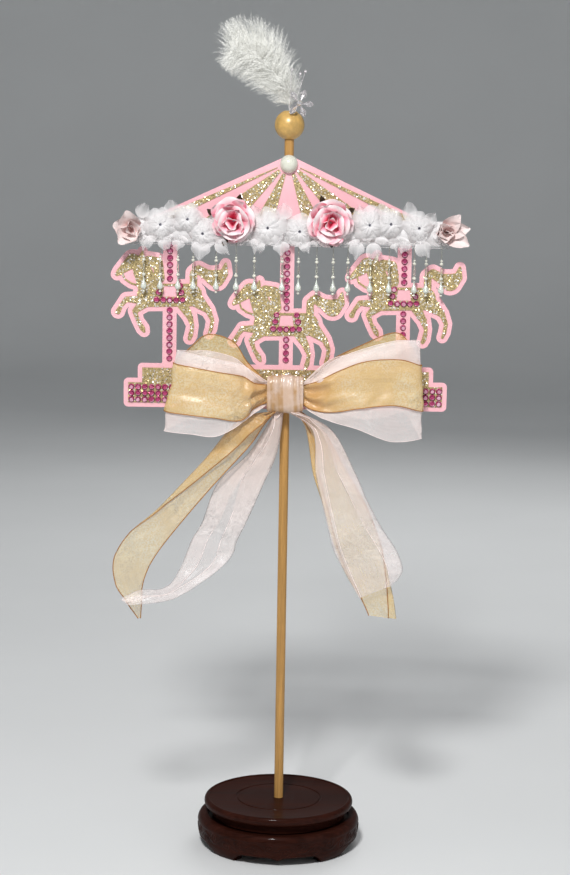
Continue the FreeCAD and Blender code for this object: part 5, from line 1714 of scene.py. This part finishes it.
def bow():
    flat = ((0, 0), (0, 0))
    for side, gold, ivory, seed in (("left", GOLD_LOOP_LEFT, IVORY_LOOP_LEFT, 1.3),
                                    ("right", GOLD_LOOP_RIGHT, IVORY_LOOP_RIGHT, 2.3)):
        for layer, stations in (("gold", gold), ("ivory", ivory)):
            ribbon(layer + "_loop_" + side, stations, KNOT, flat, LOOP_GATHERS, "gathered", seed, gold,
                   LOOP_CREASES[side])
    tails = {"gold_tail_left": GOLD_TAIL_LEFT, "gold_tail_right": GOLD_TAIL_RIGHT,
             "ivory_tail_left": IVORY_TAIL_LEFT, "ivory_tail_right": IVORY_TAIL_RIGHT}
    foot = Vector((KNOT.x, KNOT.y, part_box("bow_knot")[0].z))
    for seed, (name, stations) in enumerate(tails.items()):
        ribbon(name, stations, foot, TAIL_FOLDS[name], TAIL_GATHERS, "hung", seed + 6.1)
    knot_wrap()


def ivory_share(x):
    """How far the knot's ivory covers its gold at a place across it in millimetres."""
    return max(ease(low - BAND_EDGE, low, x) * (1 - ease(high, high + BAND_EDGE, x)) * deep
               for low, high, deep in KNOT_BANDS)


def squared(value):
    """A sine or cosine pushed outwards, which squares up the circle it draws."""
    return math.copysign(abs(value) ** KNOT_SQUARE, value)


def knot_wrap():
    """The band of ribbon wound round the middle of the bow, with folds that run the way it is wound."""
    half = KNOT_HALF
    angles = turns(KNOT_TURNS)
    places = [(2 * i / KNOT_COLUMNS - 1) * half.x for i in range(KNOT_COLUMNS + 1)]
    rows = []
    for x in places:
        size = 1 - 0.10 * (abs(x) / half.x) ** 3
        row = []
        for turn in angles:
            aside, up = math.cos(turn), math.sin(turn)
            fold = BAND_RISE * ivory_share(x / MM + up) + 0.3 * math.sin(x * 1100 + turn)
            fold += 1.1 * noise.noise(Vector((x * 110, 0.7 * aside, 0.7 * up)))
            reach_y, reach_z = half.y * size + fold * MM, half.z * size + 0.6 * fold * MM
            row.append(KNOT + Vector((x, reach_y * squared(aside), reach_z * squared(up))))
        rows.append(row)
    shape = Shape()
    shape.sheet(rows, around=True, value=lambda i, j: ivory_share(places[i] / MM + math.sin(angles[j])),
                place=lambda i, j: (i / KNOT_COLUMNS * 2 * half.x, j / KNOT_TURNS * 0.08))
    made = shaped_piece("knot_wrap", shape, [knot_organza], "ivory_organza", ["bow_knot"], closed=True)


# Topknot

# The plume's spine, in millimetres from the top of the glue in the ball's mouth
SPINE = ((1, 0, 5), (-5, -1, 18), (-16, -1, 33), (-30, 0, 45), (-46, 1, 51))
SPINE_STEPS, SHAFT_RADIUS = 60, 0.45 * MM
BARB_STEPS = 6
BARBULES = 34
# Half widths as shares of a barb's length
STEM_HALF, BARBULE_HALF = 0.005, 0.0048


def barb_mesh():
    """One barb of unit length along +Z: a thin curved stem with a fuzz of three-cornered barbules."""
    draw = random.Random(3)
    points, faces = [], []

    def stem(share):
        return Vector((0.20 * share ** 2, 0, share))

    for k in range(BARB_STEPS + 1):
        wide = STEM_HALF * (1 - 0.7 * k / BARB_STEPS)
        points += [stem(k / BARB_STEPS) + Vector((0, -wide, 0)), stem(k / BARB_STEPS) + Vector((0, wide, 0))]
    faces += [(2 * k, 2 * k + 1, 2 * k + 3, 2 * k + 2) for k in range(BARB_STEPS)]
    for k in range(BARBULES):
        share = 0.12 + 0.86 * k / BARBULES
        turn, long = draw.uniform(0, PHASES), draw.uniform(0.09, 0.15) * (1.1 - 0.4 * share)
        way = Vector((math.cos(turn) * 0.75, math.sin(turn) * 0.75, 0.8)).normalized()
        foot, thick = stem(share), Vector((-math.sin(turn), math.cos(turn), 0)) * BARBULE_HALF
        start = len(points)
        points += [foot - thick, foot + thick, foot + way * long]
        faces.append((start, start + 1, start + 2))
    return bare_mesh("barb", points, faces)


def plume():
    stations = [Vector((x, y, BALL_MOUTH / MM + rise)) * MM for x, y, rise in SPINE]
    spine = smooth(stations, SPINE_STEPS)
    source = bare_mesh("spine", spine, edges=[(k, k + 1) for k in range(SPINE_STEPS)])
    mesh = grown("downy_plume", source, plume_tree, barb_mesh(), Barbs=sizes().barbs, Length=sizes().barb,
                 Flatness=0.45, Stir=8 * MM, Seed=4, Material=once(down))
    piece("downy_plume", mesh, [down], ["feather_plume"])
    shape = Shape()
    shape.tube(spine, lambda share: SHAFT_RADIUS * (1 - 0.8 * share))
    shaped_piece("plume_shaft", shape, [down], "feather", closed=True)
    dress("feather_quill", down)
    dress("crystal_flower", clear_crystal)
    dress("crystal_sprays", clear_crystal)


# Operators

class CAROUSEL_OT_stage(bpy.types.Operator):
    """Sets the pale floor, the soft lamps and the camera"""
    bl_idname = "carousel.stage"
    bl_label = "Stage"

    def execute(self, context):
        set_floor()
        set_lamps()
        set_camera()
        return {"FINISHED"}


class CAROUSEL_OT_stand(bpy.types.Operator):
    """Carves the base, turns the disc and finishes the pivot's hardware"""
    bl_idname = "carousel.stand"
    bl_label = "Stand"

    def execute(self, context):
        carved_base()
        turned_disc()
        felt_glide()
        dress("base_bush", bush_brass)
        dress("pivot_spigot", pivot_steel)
        dress("retaining_washer", pivot_steel)
        return {"FINISHED"}


class CAROUSEL_OT_dowel(bpy.types.Operator):
    """Makes the dowel, the painted ball and the glue that holds the card"""
    bl_idname = "carousel.dowel"
    bl_label = "Dowel and ball"

    def execute(self, context):
        round_dowel()
        painted_ball()
        glue_beads()
        dress("finial_glue", clear_glue)
        return {"FINISHED"}


class CAROUSEL_OT_card(bpy.types.Operator):
    """Finishes the die-cut card and scatters the glitter on its overlays"""
    bl_idname = "carousel.card"
    bl_label = "Card and glitter"

    def execute(self, context):
        dress("backing_card", pink_card)
        glitter_flakes()
        half_pearl()
        return {"FINISHED"}


class CAROUSEL_OT_stones(bpy.types.Operator):
    """Sets the faceted stones on poles, saddles and platform"""
    bl_idname = "carousel.stones"
    bl_label = "Stones"

    def execute(self, context):
        set_stones()
        return {"FINISHED"}


class CAROUSEL_OT_fringe(bpy.types.Operator):
    """Makes the corded tape and strings the beads on it"""
    bl_idname = "carousel.fringe"
    bl_label = "Bead fringe"

    def execute(self, context):
        fringe_tape()
        bead_strings()
        return {"FINISHED"}


class CAROUSEL_OT_garland(bpy.types.Operator):
    """Gathers the strip along the eave and sets the flowers on it"""
    bl_idname = "carousel.garland"
    bl_label = "Garland"

    def execute(self, context):
        garland_ruffle()
        flowers()
        blossoms()
        loose_petals()
        return {"FINISHED"}


class CAROUSEL_OT_bow(bpy.types.Operator):
    """Ties the bow: loops, tails and knot"""
    bl_idname = "carousel.bow"
    bl_label = "Bow"

    def execute(self, context):
        bow()
        return {"FINISHED"}


class CAROUSEL_OT_topknot(bpy.types.Operator):
    """Grows the plume and finishes the crystals at the top"""
    bl_idname = "carousel.topknot"
    bl_label = "Topknot"

    def execute(self, context):
        plume()
        return {"FINISHED"}


OPERATORS = (CAROUSEL_OT_stage, CAROUSEL_OT_stand, CAROUSEL_OT_dowel, CAROUSEL_OT_card, CAROUSEL_OT_stones,
             CAROUSEL_OT_fringe, CAROUSEL_OT_garland, CAROUSEL_OT_bow, CAROUSEL_OT_topknot)


class CAROUSEL_PT_panel(bpy.types.Panel):
    """Lists the steps that dress the centrepiece, and what can be changed in them"""
    bl_label = "Carousel centrepiece"
    bl_idname = "CAROUSEL_PT_panel"
    bl_space_type = "VIEW_3D"
    bl_region_type = "UI"
    bl_category = "Carousel"

    def draw(self, context):
        for made in OPERATORS:
            self.layout.operator(made.bl_idname)
        for group in (context.scene.carousel_sizes, context.scene.carousel_colours):
            for key in group.__annotations__:
                self.layout.prop(group, key)


CLASSES = (CarouselSizes, CarouselColours, *OPERATORS, CAROUSEL_PT_panel)


def register():
    for made in CLASSES:
        bpy.utils.register_class(made)
    bpy.types.Scene.carousel_sizes = PointerProperty(type=CarouselSizes)
    bpy.types.Scene.carousel_colours = PointerProperty(type=CarouselColours)


def unregister():
    del bpy.types.Scene.carousel_colours
    del bpy.types.Scene.carousel_sizes
    for made in reversed(CLASSES):
        bpy.utils.unregister_class(made)


def main():
    register()
    for made in OPERATORS:
        group, name = made.bl_idname.split(".")
        getattr(getattr(bpy.ops, group), name)()


if __name__ == "__main__":
    main()
